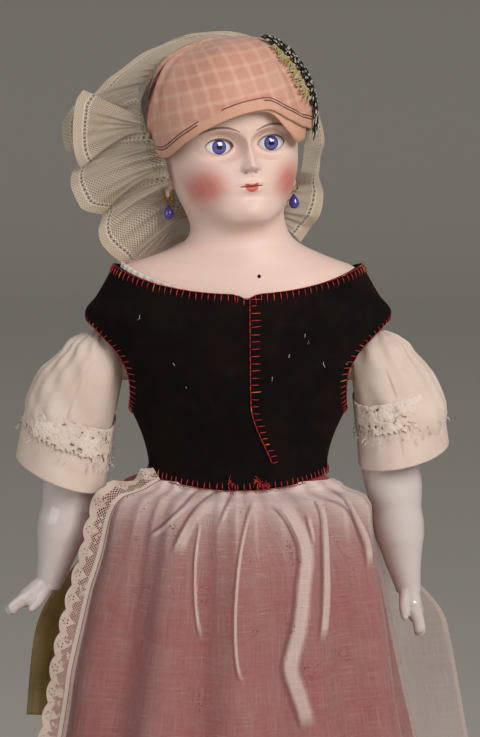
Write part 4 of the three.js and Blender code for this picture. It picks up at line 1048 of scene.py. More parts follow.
def ball(centre, half, rows=14, columns=20):
    lift = np.linspace(-math.pi / 2, math.pi / 2, rows)[:, None]
    turn = full_turn(columns)[None, :]
    ring = stacked(half[0] * np.cos(lift) * np.sin(turn), -half[1] * np.cos(lift) * np.cos(turn),
                   half[2] * np.sin(lift) + 0 * turn)
    return ring + np.asarray(centre, float)


def joined(made, *grids):
    """Adds closed ball-like grids to a piece as extra skins."""
    shape = bmesh.new()
    shape.from_mesh(made.data)
    for grid in grids:
        corners = [shape.verts.new(p) for p in (grid.reshape(-1, 3) * MM)]
        for face in quads(*grid.shape[:2], True):
            shape.faces.new([corners[i] for i in face]).smooth = True
    shape.to_mesh(made.data)
    shape.free()


# Head mesh: columns round it, rows up the head and rows up the plate
head_columns = 230
head_rows = 150
plate_rows = 46
head_foot = -40
bisque_wall = 4
sew_hole_place = [10, 0, 445]
sew_hole_radius = 0.9
# Ears and earrings, from the head's own frame at eye level
ear_depth = 8
ear_shell_height = -12
ear_hole_height = -21.5
ear_ring = 2.3
wire_radius = 0.45
wire_gap = 0.4
bead_length = 7.6


def head_side(z):
    return float(head_half_width(z) * np.sqrt(1 - (ear_depth / head_back(z)) ** 2))


ear_x = head_side(-20) + ear_ring + wire_radius + 2 * wire_gap


def build_head():
    """One shell with cut eyes and sew hole. Its columns lie closer together on the face."""
    even = full_turn(head_columns)
    angles = even - 0.6 * np.sin(even)
    outer_levels = np.linspace(head_foot, crown_opening, head_rows)
    inner_levels = np.linspace(head_foot + bisque_wall, crown_opening, head_rows)
    outer = head_skin(outer_levels, angles, plate_rows, 0, True)
    inner = head_skin(inner_levels, angles, plate_rows, bisque_wall, False)
    loop = np.concatenate([outer, inner[::-1]])
    faces = quads(loop.shape[0], loop.shape[1], True, True)
    made = piece("doll_head", loop.reshape(-1, 3), faces, bisque, "torso", ["shoulder_head"])
    hole = circle(sew_hole_place, sew_hole_radius, [1, 0, 0], [0, 0, 1])
    sew_hole = prism(hole, (0, -1, 0), 10, 30)
    cut_by(made, [eye_opening(-1), eye_opening(1), sew_hole])
    for side in (-1, 1):
        out = side * (head_side(ear_shell_height) + 0.6)
        shell = ball([out, ear_depth + 1, ear_shell_height], [3, 6, 10])
        hollow = bell(shell[..., 1], ear_depth, 3) * bell(shell[..., 2], -11, 6)
        shell[..., 0] -= side * 1.2 * hollow
        lobe = ball([side * ear_x, ear_depth, -20.7], [1.3, 2.8, 3.2])
        root = ball([side * (ear_x - 2), ear_depth, -17.6], [3, 2.4, 2.6])
        joined(made, *(to_head(g) for g in (shell, lobe, root)))
    at = np.array([v.co for v in made.data.vertices]) / MM
    local = from_head(at)
    front = (1 - smoothstep(-14, -8, local[:, 1])) * smoothstep(-38, -34, local[:, 2])
    carry(made.data, "face", local)
    carry(made.data, "front", front)


eye_rows = 44
eye_columns = 56
eye_ball_half_width = 10.2
eye_ball_radius = 8.6
cornea_rise = 0.45
cornea_radius = 3.2


def build_eyes():
    polar = np.linspace(0.01, math.pi * 0.62, eye_rows)[:, None]
    turn = full_turn(eye_columns)[None, :]
    across = np.sin(polar)
    forward = eye_ball_radius * np.cos(polar) + cornea_rise * bell(across * eye_ball_radius, 0, cornea_radius)
    local = stacked(eye_ball_half_width * across * np.sin(turn), -forward + 0 * turn,
                    eye_ball_radius * across * np.cos(turn))
    for name, side in SIDES.items():
        at = to_head(local + [side * eye_spacing, -eye_set_back, 0])
        values = {"eye": local.reshape(-1, 3)}
        piece(f"glass_eye_{name}", at.reshape(-1, 3), quads(eye_rows, eye_columns, True), eye_glass, "torso",
              [f"eye_{name}"], values=values)


# Head-dress

dome_height = 12
wig_inside = np.array([35.2, 35.4, 44.6, 38])
scarf_outside = wig_inside + 2 + 1.2 + 1.3
scarf_edge = through([
    [-180, 0], [-110, 0], [-76, -4], [-46, 4], [-33, 8.5], [-2, 15.5], [12, 16.4], [30, 11], [48, 6.5],
    [90, 3], [180, 0]])


scarf_slant = math.radians(9)


def dome_point(dome, degrees, lift):
    side, front, back, up = dome
    turn = np.radians(degrees)
    depth = np.where(np.cos(turn) > 0, front, back)
    return stacked(side * np.sin(turn) * np.cos(lift), -depth * np.cos(turn) * np.cos(lift),
                   dome_height + up * np.sin(lift))


def dome_lift(dome, edge, degrees, share):
    low = np.arcsin((edge(degrees) - dome_height) / dome[3])
    return mix(low, math.radians(89), share)


def flattened(local, height):
    """Presses the crown of a dome down above a height, a little lower towards the doll's right."""
    over = np.maximum(local[..., 2] - height - 0.12 * local[..., 0], 0)
    return local - stacked(0, 0, 0.45 * over**2 / (over + 4))


def build_wig():
    hairline = through([[-180, -4], [-110, 2], [-60, 14], [0, 26], [60, 14], [110, 2], [180, -4]])
    dome = wig_inside + 2
    degrees = np.linspace(-180, 180, 160, endpoint=False)[None, :]
    share = np.linspace(0, 1, 36)[:, None]
    lift = dome_lift(dome, hairline, degrees, share)
    wave = 0.35 * np.sin(np.radians(degrees) * 46 + 3 * share)
    grid = to_head(flattened(dome_point(dome, degrees, lift) * (1 + wave[..., None] / 60), 37))
    made = grid_piece("mohair_wig", grid, mohair, "torso", ["wig"], around=True)
    thicken(made, 2)


def scarf_grid(dome, degrees, share):
    """The kerchief: a dome flattened on top, smooth in front and pleated where it is pinned at one side."""
    lift = dome_lift(dome, scarf_edge, degrees, share)
    up = (lift - lift[:1]) * 42
    pleats = 1.3 * bell(degrees, -92, 16) * np.cos(np.radians(degrees + 94) * 26) * smoothstep(0, 0.2, share)
    soft = ripple(degrees * 0.6, up, 3, 7) * smoothstep(1, 12, up)
    tuck = -1.6 * bell(degrees, 47 - 0.35 * up, 5) * smoothstep(2, 12, up) * (1 - smoothstep(24, 40, up))
    local = dome_point(dome, degrees, lift)
    away = local - [0, 2, dome_height - 6]
    local = local + unit(away) * (pleats + soft + tuck)[..., None]
    local = flattened(local, 43)
    turn = np.radians(degrees)
    side, front, back, _ = dome
    around = np.where(np.cos(turn) > 0, 0.5 * (side + front), 0.5 * (side + back)) * turn * np.cos(lift)
    edge = scarf_edge(degrees)
    cosine, sine = math.cos(scarf_slant), math.sin(scarf_slant)
    threads = stacked(around * cosine + up * sine + edge * sine, up * cosine - around * sine + edge, 0)
    return to_head(local), up, threads[..., :2]


def build_scarf():
    degrees = np.linspace(-180, 180, 361)[None, :]
    share = np.linspace(0, 1, 90)[:, None]
    grid, up, threads = scarf_grid(scarf_outside, degrees, share)
    side = bell(degrees, -99 + 0.25 * up, 2.4) + 0.8 * bell(degrees, -91, 1.8) * (1 - smoothstep(6, 18, up))
    side = side * smoothstep(0.02, 0.12, share) * (1 - smoothstep(0.5, 0.75, share))
    marked = through([
        [-80, 1], [-39, 1], [-35, 0], [-22, 0], [-19, 0.5], [9, 0.5], [12, 1], [62, 1], [66, 0]])
    marked = marked(degrees) + 0 * share
    lining_degrees = np.linspace(4, 56, 60)[None, :]
    down = np.linspace(1, 0, 9)[:, None]
    lower = through([[4, 0.3], [16, 1.6], [32, 6.0], [44, 8.5], [56, 6]])(lining_degrees)
    edge = scarf_edge(lining_degrees)
    lift = np.arcsin((mix(edge - lower, edge + 10, down) - dome_height) / scarf_outside[3])
    strip = dome_point(scarf_outside - 1.9, lining_degrees, lift)
    cloth("scarf_lining", to_head(strip), lining_silk, "torso", (),
          thickness=0.5)
    cloth("head_kerchief", grid, plaid_silk, "torso", ["head_scarf"],
          thickness=1.3, values={"up": up, "side": side, "marked": marked}, threads=threads)


# Fringe: steps along a row of the heading, strands that hang from it and ends that lie inside it
heading_steps = 90
hanging_strands = 170
gold_ends = 190


def fringe_root(t, out, ahead=0.0):
    degrees = mix(66, 52, t) - ahead
    return dome_point(scarf_outside + 0.4 + out, degrees, np.radians(mix(4, 62, t)))


def build_fringe():
    """A knotted heading with black and white strands hanging from it and gold ends lying inside it."""
    dice = np.random.default_rng(11)
    paths, tone, radius = [], [], []

    def add(path, shade, size):
        paths.append(to_head(path))
        tone.append(shade)
        radius.append(size)

    for ahead in (-2.2, 0.0, 2.2, 4.4, 6.6):
        t = np.linspace(0.02, 1, heading_steps)
        wave = 0.3 * np.sin(np.arange(heading_steps) * 1.9 + 5 * ahead)
        row = np.stack([fringe_root(a, 0.7 + w, ahead) for a, w in zip(t, wave)])
        for first in range(0, heading_steps - 3, 3):
            pale = (first // 3 + round(ahead)) % 3 == 0
            add(row[first:first + 4], 0.9 if pale else 0.1, 0.55)
    for i in range(hanging_strands):
        start = (i + dice.uniform(0, 1)) / hanging_strands
        length = dice.uniform(0.12, 0.2)
        turn = dice.uniform(-14, 7)
        lift = dice.uniform(0.8, 2.4)
        s = np.linspace(0, 1, 13)
        strand = np.stack([
            fringe_root(start - length * a, 0.7 + lift * math.sin(2.4 * a), turn * a) for a in s])
        drop = smoothstep(0.0, 0.25, 0.25 - start)
        strand = strand - stacked(2 * drop * s, 0, drop * 9 * s**1.5)
        for first in range(0, 12, 2):
            pale = (first // 2 + i // 2) % 3 == 0 and dice.uniform() < 0.75
            add(strand[first:first + 3], 0.9 if pale else 0.1, 0.40 if pale else 0.36)
    for _ in range(gold_ends):
        start = dice.uniform(0.16, 0.8)
        run = dice.uniform(4, 15)
        slip = dice.uniform(-0.03, 0.12)
        s = np.linspace(0, 1, 5)
        path = np.stack([fringe_root(start - slip * a, 0.4 + 3.2 * a * (1 - a), 6 + run * a) for a in s])
        add(path, dice.choice([0.6, 0.6, 0.9, 0.6]), 0.24)
    tube_piece("kerchief_fringe", paths, radius, fringe_silk, "torso", ["scarf_fringe"], tone,
               sides=5)


def build_cap():
    half_width, back = curves([
        [-36, 30, 38], [-20, 35.5, 45], [0, 40.6, 52], [15, 42, 54], [30, 38.6, 49], [43, 28.2, 38]])
    sweep = through([[-36, 62], [-10, 68], [15, 76], [43, 84]])
    z = np.linspace(-36, 43, 80)[:, None]
    share = np.linspace(-1, 1, 180)[None, :]
    turn = np.radians(sweep(z) * share)
    gather = 0.9 * np.sin(share * 38 + 2 * np.sin(z / 9)) * (bell(z, 43, 18) + bell(z, -36, 16) + 0.25)
    grid = stacked((half_width(z) + gather) * np.sin(turn), (back(z) + gather) * np.cos(turn), z + 0 * turn)
    edge = (1 - np.abs(share)) * 55 + 8 + 0 * z
    cloth("net_bag_cap", to_head(grid), cap_net, "torso", ["net_cap"],
          values={"edge": edge})


# Stops along the frill's free edge, as sweep round the head, depth behind the plain cone, and width. On the
# doll's right it folds back and forth into petals that lie over each other.
frill_stops = np.array([
    [-174, 12, 4], [-160, 9, 7], [-156, 7, 14], [-150, 3, 24], [-144, -1, 34], [-139, -5, 33], [-125, -8, 34],
    [-120, -7, 31.5], [-116, -2, 25], [-111, 5, 23], [-110, 4, 23], [-116, -4, 24.5], [-113, -9, 30],
    [-109, -11, 34.5], [-103, -9, 35], [-100, -5, 33.5], [-91, 4, 25], [-89, 5, 25], [-97, -6, 27.5],
    [-90, -10, 30.5], [-82, -11, 31], [-73, -9, 30.5], [-68, -5, 27.5], [-80, 0, 28], [-91, 3, 29],
    [-90, 6, 31.5], [-83, 9, 32], [-74, 10, 27], [-67, 8, 19], [-60, 6, 16], [-52, 5, 12], [-39, 4, 8.5],
    [-28, 3, 5.5], [-14, 0, 4.6], [-1, 0, 3.6], [15, 1, 4.5], [30, 0, 5], [45, 1.5, 5], [62, -1, 6],
    [80, 0, 7.8], [96, -2, 8.8], [104, 2, 8.5], [112, -2, 8], [123, 2, 15], [137, -2, 18], [149, 2, 20.5],
    [161, 0, 23.5]])
frill_ring = (43.4, 47.6)
frill_sewn_to = 138


def frill_point(sweep, depth, width):
    round_it = np.radians(sweep)
    lean = np.radians(np.clip(sweep, -126, 112))
    return stacked(
        frill_ring[0] * np.sin(round_it) + width * np.sin(lean),
        15 + 12 * np.cos(round_it / 2) ** 2 + 0.12 * width + depth,
        2 + frill_ring[1] * np.cos(round_it) + width * np.cos(lean))


def frill_edge(count):
    """Points along the free edge, how far along each lies, the sweep it is sewn on at, and its width."""
    hem = frill_point(*frill_stops.T)
    along = distances(hem)
    t = np.linspace(0, along[-1], count)
    sweep, depth, width = (curve(t) for curve in curves(np.column_stack([along, frill_stops])))
    steady = np.linspace(-frill_sewn_to, frill_sewn_to, len(frill_stops))
    root_sweep = np.sort(np.clip(frill_stops[:, 0], -frill_sewn_to, frill_sewn_to))
    root = through(np.column_stack([along, mix(root_sweep, steady, 0.15)]))(t)
    return frill_point(sweep, depth, width), t, root, width


def frill_root(sweep):
    """Where the frill is sewn on: along the cap's edge on top, and close to the cheeks below."""
    wide = np.abs(sweep)
    ring = frill_point(sweep, 0 * sweep, 0 * sweep)
    near_x = through([
        [56, 40], [75, 41], [86, 39.6], [92, 35.6], [105, 33.4], [118, 31.4], [125, 27], [132, 19],
        [138, 10]])
    near_y = through([
        [56, 16], [75, 5], [86, -1], [92, -5], [112, -4], [116, 4], [120, 16], [130, 19], [138, 25]])
    low = smoothstep(50, 62, wide)
    near = stacked(np.sign(sweep) * near_x(wide), near_y(wide), ring[..., 2])
    return mix(ring, near, low[..., None]), ring, low


def build_ruffle():
    hem, run, root, width = frill_edge(1000)
    start, ring, low = frill_root(root)
    away = unit(ring * [1, 0, 1])
    bend = mix(ring, start, 0.35) + away * (2 + 3 * low)[:, None]
    t = np.linspace(0, 1, 52)[:, None, None]
    grid = (1 - t) ** 2 * start + 2 * t * (1 - t) * bend + t**2 * hem
    across = t[..., 0]
    fold = np.sin(root * 1.15 + 2.2 * np.sin(root / 7)) * smoothstep(0, 0.06, across) * bell(across, 0.2, 0.3)
    middle = smoothstep(0.1, 0.4, across) * (1 - smoothstep(0.7, 1, across))
    pleat = np.sin(run * 0.85 + 1.6 * np.sin(run / 11)) * middle
    swell = 2.2 * np.sin(math.pi * across)
    wide = smoothstep(5, 26, width)
    forward = stacked(0.5 * away[:, 0] * low, -0.8, 0.5 * away[:, 2] * low)
    grid = grid + (wide * (1.5 * fold + 0.6 * pleat + swell))[..., None] * forward
    down = lengths(grid, 0)
    values = {"edge": (down[-1:] - down)[::-1], "run": (run + 0 * across)[::-1]}
    cloth("net_frill", to_head(grid)[::-1], ruffle_net, "torso", ["cap_ruffle"],
          values=values)


def build_earrings():
    for name, side in SIDES.items():
        turn = np.linspace(0.5 * math.pi - 0.94 * math.pi, 0.5 * math.pi + 0.94 * math.pi, 40)
        ring = stacked(side * ear_x + ear_ring * np.cos(turn), ear_depth,
                       ear_hole_height + ear_ring * (np.sin(turn) - 1))
        tube_piece(f"ear_wire_{name}", [to_head(ring)], wire_radius, brass_wire, f"{name}_earring",
                   [f"earring_hook_{name}"], sides=10)
        profile = through([[0, 0.05], [0.7, 0.65], [2.7, 1.95], [4.9, 2.6], [7, 1.6], [bead_length, 0.05]])
        down = np.linspace(0, bead_length, 26)
        top = ear_hole_height - 2 * ear_ring - wire_radius - wire_gap
        size = lambda z: profile(top - z)
        rings = ovals(top - down[::-1], size, size, x=side * ear_x, y=ear_depth, count=28)
        loft_piece(f"ear_bead_{name}", to_head(rings), blue_bead, f"{name}_earring",
                   [f"earring_bead_{name}"])


# Bodice and blouse

neckline_front = plate_rim_height + 32
neckline_side = plate_rim_height + 44
bodice_hem = waist_height - 8
bodice_half_width = through([
    [344, 43.7], [352, 43.2], [395, 60], [419, 71.5], [426, 73.5], [434, 68], [449, 59.5]])
bodice_half_depth = through([
    [344, 34.7], [352, 34.2], [395, 40], [419, 40], [431, 37.5], [440, 34.6], [449, 33]])
overlap_edge = through([[344, 20], [354, 17], [386, 6], [437, 5.5]])
velvet_thickness = 1.6
# Armholes: the cut's radius at two distances out from the joint, and where stitches start and end
armhole_cut = ((-17, 20.6), (24, 22.6))
armhole_stitch_edge = 21.5
armhole_stitch_end = 24.2
stitch_pitch = 3.0
front_stitch_pitch = 3.4
stitch_radius = 0.26
# Width and length in metres that the chemise is cut to
chemise_cut = (0.34, 0.075)
# Pale threads on the velvet, as [across, height]
lint_places = [
    [-46, 427], [-30, 404], [31, 417], [33, 414], [24, 408], [40, 405], [-24, 393], [16, 398], [52, 404]]


def bodice_height(turn, share):
    sideways = np.sin(turn) ** 2
    notch = 2.2 * bell(np.sin(turn), 0.06, 0.05) * (np.cos(turn) > 0)
    return mix(bodice_hem + 5 * sideways, mix(neckline_front, neckline_side, sideways) - notch, share)


def bodice_point(turn, z, out=0.0):
    """A point of the bodice's outer face, moved out from it."""
    x = bodice_half_width(z) * np.sin(turn)
    on_front = np.cos(turn) > 0
    flap = 0.9 * smoothstep(-0.5, 0.5, x - overlap_edge(z)) * (1 - smoothstep(14, 40, x)) * on_front
    crease = 0.45 * ripple(x, z, 21, 7) * smoothstep(350, 362, z) * (1 - smoothstep(425, 437, z))
    out = out + flap + crease
    return stacked((bodice_half_width(z) + out) * np.sin(turn),
                   -(bodice_half_depth(z) + out) * np.cos(turn), z)


def armhole_cutter(side):
    base = np.array([side * joint_x, 0, shoulder_height])
    rings = [circle(base + [side * at, 0, 0], radius, [0, 1, 0], [0, 0, side], 72)
             for at, radius in armhole_cut]
    return loft(np.array(rings))


def bodice_shell():
    turn = full_turn(300)[None, :]
    share = np.linspace(0, 1, 90)[:, None]
    z = bodice_height(turn, share)
    outer = bodice_point(turn, z)
    rolled = 0.5 * bell(share, 0, 0.012) + 0.5 * bell(share, 1, 0.012)
    outer = mix(outer, bodice_point(turn, z, -velvet_thickness / 2), rolled[..., None])
    return outer, bodice_point(turn, z, -velvet_thickness)


def armhole_points(side, turn, radius):
    """Points on the bodice round an armhole, from the edge outwards."""
    y = radius * np.sin(turn)
    z = shoulder_height + radius * np.cos(turn)
    share = np.clip(1 - (y / bodice_half_depth(z)) ** 2, 0, 1)
    return stacked(side * bodice_half_width(z) * np.sqrt(share), y, z)


def blanket(edge, leg, away):
    """Blanket stitch: a leg from each edge point on to the cloth, and a purl along the edge."""
    paths = []
    for e, l, n in zip(edge, leg, away):
        paths.append(np.stack([e + 0.35 * n, mix(e, l, 0.5) + 0.6 * n, l + 0.15 * n]))
    for a, b, n in zip(edge[:-1], edge[1:], away[:-1]):
        paths.append(np.stack([a + 0.35 * n, mix(a, b, 0.5) + 0.6 * n, b + 0.35 * n]))
    return paths


def spaced(points, pitch):
    """Which points of a fine line lie about a pitch apart."""
    along = distances(points)
    wanted = np.arange(0, along[-1], pitch)
    return np.searchsorted(along, wanted)


def build_stitches():
    dice = np.random.default_rng(5)
    paths = []
    turn = np.linspace(0, 2 * math.pi, 3000)
    outward = stacked(np.sin(turn), -np.cos(turn), 0)
    for share, leg_share in ((1.0, 0.965), (0.0, 0.034)):
        edge = bodice_point(turn, bodice_height(turn, share))
        leg = bodice_point(turn, bodice_height(turn, leg_share))
        pick = spaced(edge, stitch_pitch)
        lift = stacked(0, 0, (0.3 if share else -0.3) + 0 * turn[pick])
        paths += blanket(edge[pick] + lift, leg[pick] + dice.normal(0, 0.25, (len(pick), 3)), outward[pick])
    z = np.linspace(neckline_front - 2, bodice_hem + 10, 600)
    at = np.arcsin(np.clip(overlap_edge(z) / bodice_half_width(z), -1, 1))
    edge = bodice_point(at, z)
    leg = bodice_point(at + 3.2 / 45, z + 0.3)
    pick = spaced(edge, front_stitch_pitch)
    paths += blanket(edge[pick], leg[pick] + dice.normal(0, 0.3, (len(pick), 3)), stacked(0, -1, 0 * z[pick]))
    for side in (-1, 1):
        edge = armhole_points(side, turn, armhole_stitch_edge)
        leg = armhole_points(side, turn, armhole_stitch_end)
        pick = spaced(edge, stitch_pitch)
        paths += blanket(edge[pick], leg[pick], stacked(side, 0, 0 * turn[pick]))
    for x, z in ((10.5, 347), (9, 349), (12.5, 346), (-3, 346.5)):
        start = bodice_point(np.arcsin(x / 43), np.array(z * 1.0))
        for _ in range(7):
            bend = dice.normal(0, 1.6, (2, 3)) * [1, 0.25, 1]
            paths.append(np.stack([start, start + bend[0] + [0, -0.9, 0], start + bend[1] + [0, -0.5, 0]]))
    tone = dice.uniform(0, 1, len(paths)) ** 0.9
    return tube_piece("blanket_stitches", paths, stitch_radius, embroidery, "torso", tone=tone,
                      sides=5)


def build_lint():
    """A few pale threads caught on the velvet."""
    dice = np.random.default_rng(9)
    paths = []
    for x, z in lint_places:
        turn = np.arcsin(x / float(bodice_half_width(z)))
        start = bodice_point(np.array(turn), np.array(float(z)), 0.5)
        drift = dice.normal(0, 1.5, 3) * [1, 0.1, 1]
        bow = dice.normal(0, 0.8, 3) * [1, 0.1, 1]
        paths.append(np.stack([start, start + drift / 2 + bow, start + drift]))
    return tube_piece("lint_threads", paths, 0.13, white_cotton, "torso", sides=4)


def build_bodice():
    outer, inner = bodice_shell()
    loop = np.concatenate([outer, inner[::-1]])
    faces = quads(loop.shape[0], loop.shape[1], True, True)
    made = piece("velvet_bodice", loop.reshape(-1, 3), faces, black_velvet, "torso",
                 ["bodice"])
    cut_by(made, [armhole_cutter(-1), armhole_cutter(1)])
    trims = [build_stitches(), build_lint()]


def build_blouse():
    top = plate_rim_height + 14
    wide = through([[352, 37.2], [389, 52], [405, 66.5], [419, 66.5]])
    deep = through([[352, 28.2], [393, 34.6], [405, 35.4], [419, 35.4]])
    z = np.linspace(waist_height + 6, top, 50)
    limit = lambda at: np.minimum(wide(at), bodice_half_width(at) - 2.0)
    grid = ovals(z, limit, deep, count=160)
    made = grid_piece("chemise", grid, cream_cotton, "torso", ["blouse_body"], around=True)
    thicken(made, 0.8)
    applied(made)
    cut_by(made, [armhole_cutter(-1), armhole_cutter(1)])
    area = sum(f.area for f in made.data.polygons) / 2
    area = min(area, chemise_cut[0] * chemise_cut[1])
    turn = np.radians(np.linspace(-78, -12, 90))[None, :]
    rise = np.linspace(-14, 2.4, 14)[:, None]
    show = through([[-78, 0.9], [-50, 0.7], [-12, 0.1]])(np.degrees(turn))
    height = bodice_height(turn, 1.0) + np.where(rise > 0, rise * show, rise)
    wave = 0.35 * np.sin(turn * 60) * (rise > -1)
    edge = bodice_point(turn, np.minimum(height, 449), -2.4 + wave)
    edge[..., 2] = height
    cloth("chemise_edge", edge, white_cotton, "torso", (),
          thickness=0.4)


# Skirts and apron

skirt_folds = 12
skirt_half_width, skirt_half_depth = curves([
    [0, 40, 31], [9, 40.4, 31.4], [13, 49, 40], [18, 54, 46], [30, 59, 53], [52, 64, 60], [85, 71, 68],
    [126, 80, 77], [222, 101, 95], [317, 118, 108]])
gather_depth = through([[4, 0.35], [14, 1], [40, 0.55], [95, 0.12], [140, 0]])
fold_depth = through([[9, 0], [17, 1], [52, 2.4], [126, 3.6], [317, 5]])


# The skirt puffs out of its band at each side: middle and half angle of a puff, and how far out by drop
skirt_puffs = [
    (-88, 32, through([[0, 0], [3, 1], [5, 9], [8, 15.5], [14, 14], [20, 11.5], [37, 9], [59, 12], [93, 12],
                       [111, 10], [150, 7], [222, 3], [317, 0]])),
    (66, 20, through([[0, 0], [3, 1], [5, 6], [8, 11], [15, 13], [25, 10], [37, 8], [64, 7], [110, 4],
                      [200, 2], [317, 0]])),
]


def puff(drop, turn):
    total = 0
    for middle, half, depth in skirt_puffs:
        off = (turn - math.radians(middle) + math.pi) % (2 * math.pi) - math.pi
        total = total + depth(drop) * bell(off, 0, math.radians(half))
    return total


def skirt_point(drop, turn, out):
    folded = fold_depth(drop) * np.cos(skirt_folds * turn) + puff(drop, turn) + out
    return stacked((skirt_half_width(drop) + folded) * np.sin(turn),
                   -(skirt_half_depth(drop) + folded) * np.cos(turn), waist_height - drop)


def gathers(turn, drop, seed):
    """Small uneven gathers under the waistband, from 0 to 1."""
    uneven = turn * 31 + 2.2 * np.sin(3 * turn + seed) + 1.3 * np.sin(7 * turn)
    return (0.5 + 0.5 * np.sin(uneven)) * gather_depth(drop)


def lean(drop):
    slope = skirt_half_depth(drop + 2) - skirt_half_depth(drop - 2)
    return np.hypot(1, slope / 4)


def build_skirts():
    turn = full_turn(480)[None, :]
    drop = np.concatenate([np.linspace(-4, 24, 36), np.linspace(24, waist_height - skirt_hem, 100)[1:]])
    drop = drop[::-1][:, None]
    sway = -0.5 + 0.5 * ripple(turn * 30, drop * 0.2, 4, 3)
    grid = skirt_point(drop, turn, sway)
    cloth("wool_skirt", grid, red_wool, "torso", ["skirt"],
          around=True, thickness=1.2)
    low = np.linspace(-4, waist_height - petticoat_hem, 60)[::-1]
    room = 1.4 * fold_depth(low) + 1.6 * lean(low)
    plain = ovals(waist_height - low, skirt_half_width(low) - room, skirt_half_depth(low) - room, count=180)
    cloth("cotton_petticoat", plain, white_cotton, "torso", ["petticoat"],
          around=True, thickness=0.8)


# Long folds of the apron, as [across, height] points down each, with the fold's half width and height
long_folds = [
    ([[16.5, 341.6], [22.7, 336.8], [30.5, 322.9], [31.5, 312.9], [29.7, 303], [28.3, 285], [25.1, 273],
      [23, 264], [26.6, 255], [32.8, 236]], 3.2, 1.5),
    ([[33.6, 342], [38.7, 335.6], [39.8, 322], [40.5, 302], [40, 286], [38.5, 275]], 1.5, 1.0),
    ([[8, 341], [4.8, 334], [0.7, 316], [-1.2, 294], [-1.4, 282], [-0.4, 266], [3.2, 258]], 0.7, 0.7),
    ([[-1.5, 343], [-10.9, 339], [-19.3, 333], [-24.5, 324], [-28.6, 314]], 2.4, 1.3),
    ([[-0.4, 343], [-5.6, 335.5], [-8.7, 326]], 0.9, 0.9),
    ([[-16, 333], [-19.2, 315.6], [-19.3, 295.6], [-18, 283.6], [-16, 276.6]], 0.7, 0.7),
    ([[42.6, 345.6], [51, 337.8], [59.5, 321], [61.5, 305.7]], 1.2, 1.0),
    ([[36.9, 342], [48.7, 338], [55, 329], [60.5, 314]], 0.9, 0.8),
    ([[-15, 344], [-30, 331], [-42, 320]], 0.9, 0.9),
    ([[31.5, 336], [35.6, 317]], 0.8, 0.8),
]
# Where the apron's edges lie on the skirt, in degrees from its middle, and how far each then hangs free
apron_turn_right = through([[5, 56], [6, 57], [12.7, 63], [23, 67.5], [257, 67.5]])
apron_turn_left = through([[5, 70], [20, 95], [45, 112], [257, 112]])
apron_free_right = through([[5, 0], [20, 1], [126, 4], [257, 6]])
apron_free_left = through([[9, 1], [30, 4], [45, 16], [63, 30], [86, 42], [115, 43], [140, 43], [257, 30]])
# Columns of the apron on the skirt and of each free edge
apron_columns = 560
free_columns_right = 8
free_columns_left = 39


def beside_line(line, x, z):
    """How far points lie to the +X side of a line going down, and a share that fades at its ends."""
    line = np.array(line, float)
    for _ in range(2):
        quarters = [mix(line[:-1], line[1:], share) for share in (0.25, 0.75)]
        cut = np.stack(quarters, axis=1).reshape(-1, 2)
        line = np.concatenate([line[:1], cut[1:-1], line[-1:]])
    best = np.full(np.shape(x), 1e9)
    off = np.zeros(np.shape(x))
    along = np.zeros(np.shape(x))
    start = 0.0
    for a, b in zip(line[:-1], line[1:]):
        step = b - a
        size = np.hypot(*step)
        t = np.clip(((x - a[0]) * step[0] + (z - a[1]) * step[1]) / size**2, 0, 1)
        far = np.hypot(x - a[0] - t * step[0], z - a[1] - t * step[1])
        hand = np.sign(step[0] * (z - a[1]) - step[1] * (x - a[0]))
        nearer = far < best
        best = np.where(nearer, far, best)
        off = np.where(nearer, hand * far, off)
        along = np.where(nearer, start + t * size, along)
        start += size
    return off, smoothstep(0, 5, along) * (1 - smoothstep(start - 9, start, along))


def apron_row(drop, turn, out):
    """The apron on the skirt; how doubled it is, which grows where a fold doubles it and also sets a painted
    highlight; and the painted shadow beside each fold.
    """
    base = skirt_point(drop, turn, 0)
    small = gathers(turn, drop, 1.0)
    height = 1.6 * small
    ply_and_highlight = 0.55 * small**3
    fold_shadow = 0 * ply_and_highlight
    band = through([[5, 1], [9, 0.8], [16, 0.5], [30, 0.15], [60, 0]])(drop) * (0.6 + 0.4 * np.sqrt(small))
    front = np.cos(turn) > 0
    for line, half, rise in long_folds:
        off, ends = beside_line(line, base[..., 0], base[..., 2])
        ends = ends * front
        fold = smoothstep(-1.15 * half, -0.75 * half, off) * (1 - smoothstep(0.4 * half, 1.7 * half, off))
        height = height + rise * fold * ends
        # Doubled where a fold lies; the same value also paints a highlight on the fold.
        ply_and_highlight = np.maximum(ply_and_highlight, 0.55 * fold * ends)
        # Painted shadow along the over-fold edge of each fold.
        fold_shadow = np.maximum(fold_shadow, bell(off, -1.15 * half - 0.5, 0.55) * ends * min(1, rise))
    soft = 0.35 + 0.35 * ripple(base[..., 0], base[..., 2], 8, 12)
    shift = (out + soft) * lean(drop) + height
    return skirt_point(drop, turn, shift), np.clip(np.maximum(ply_and_highlight, band), 0, 1), fold_shadow


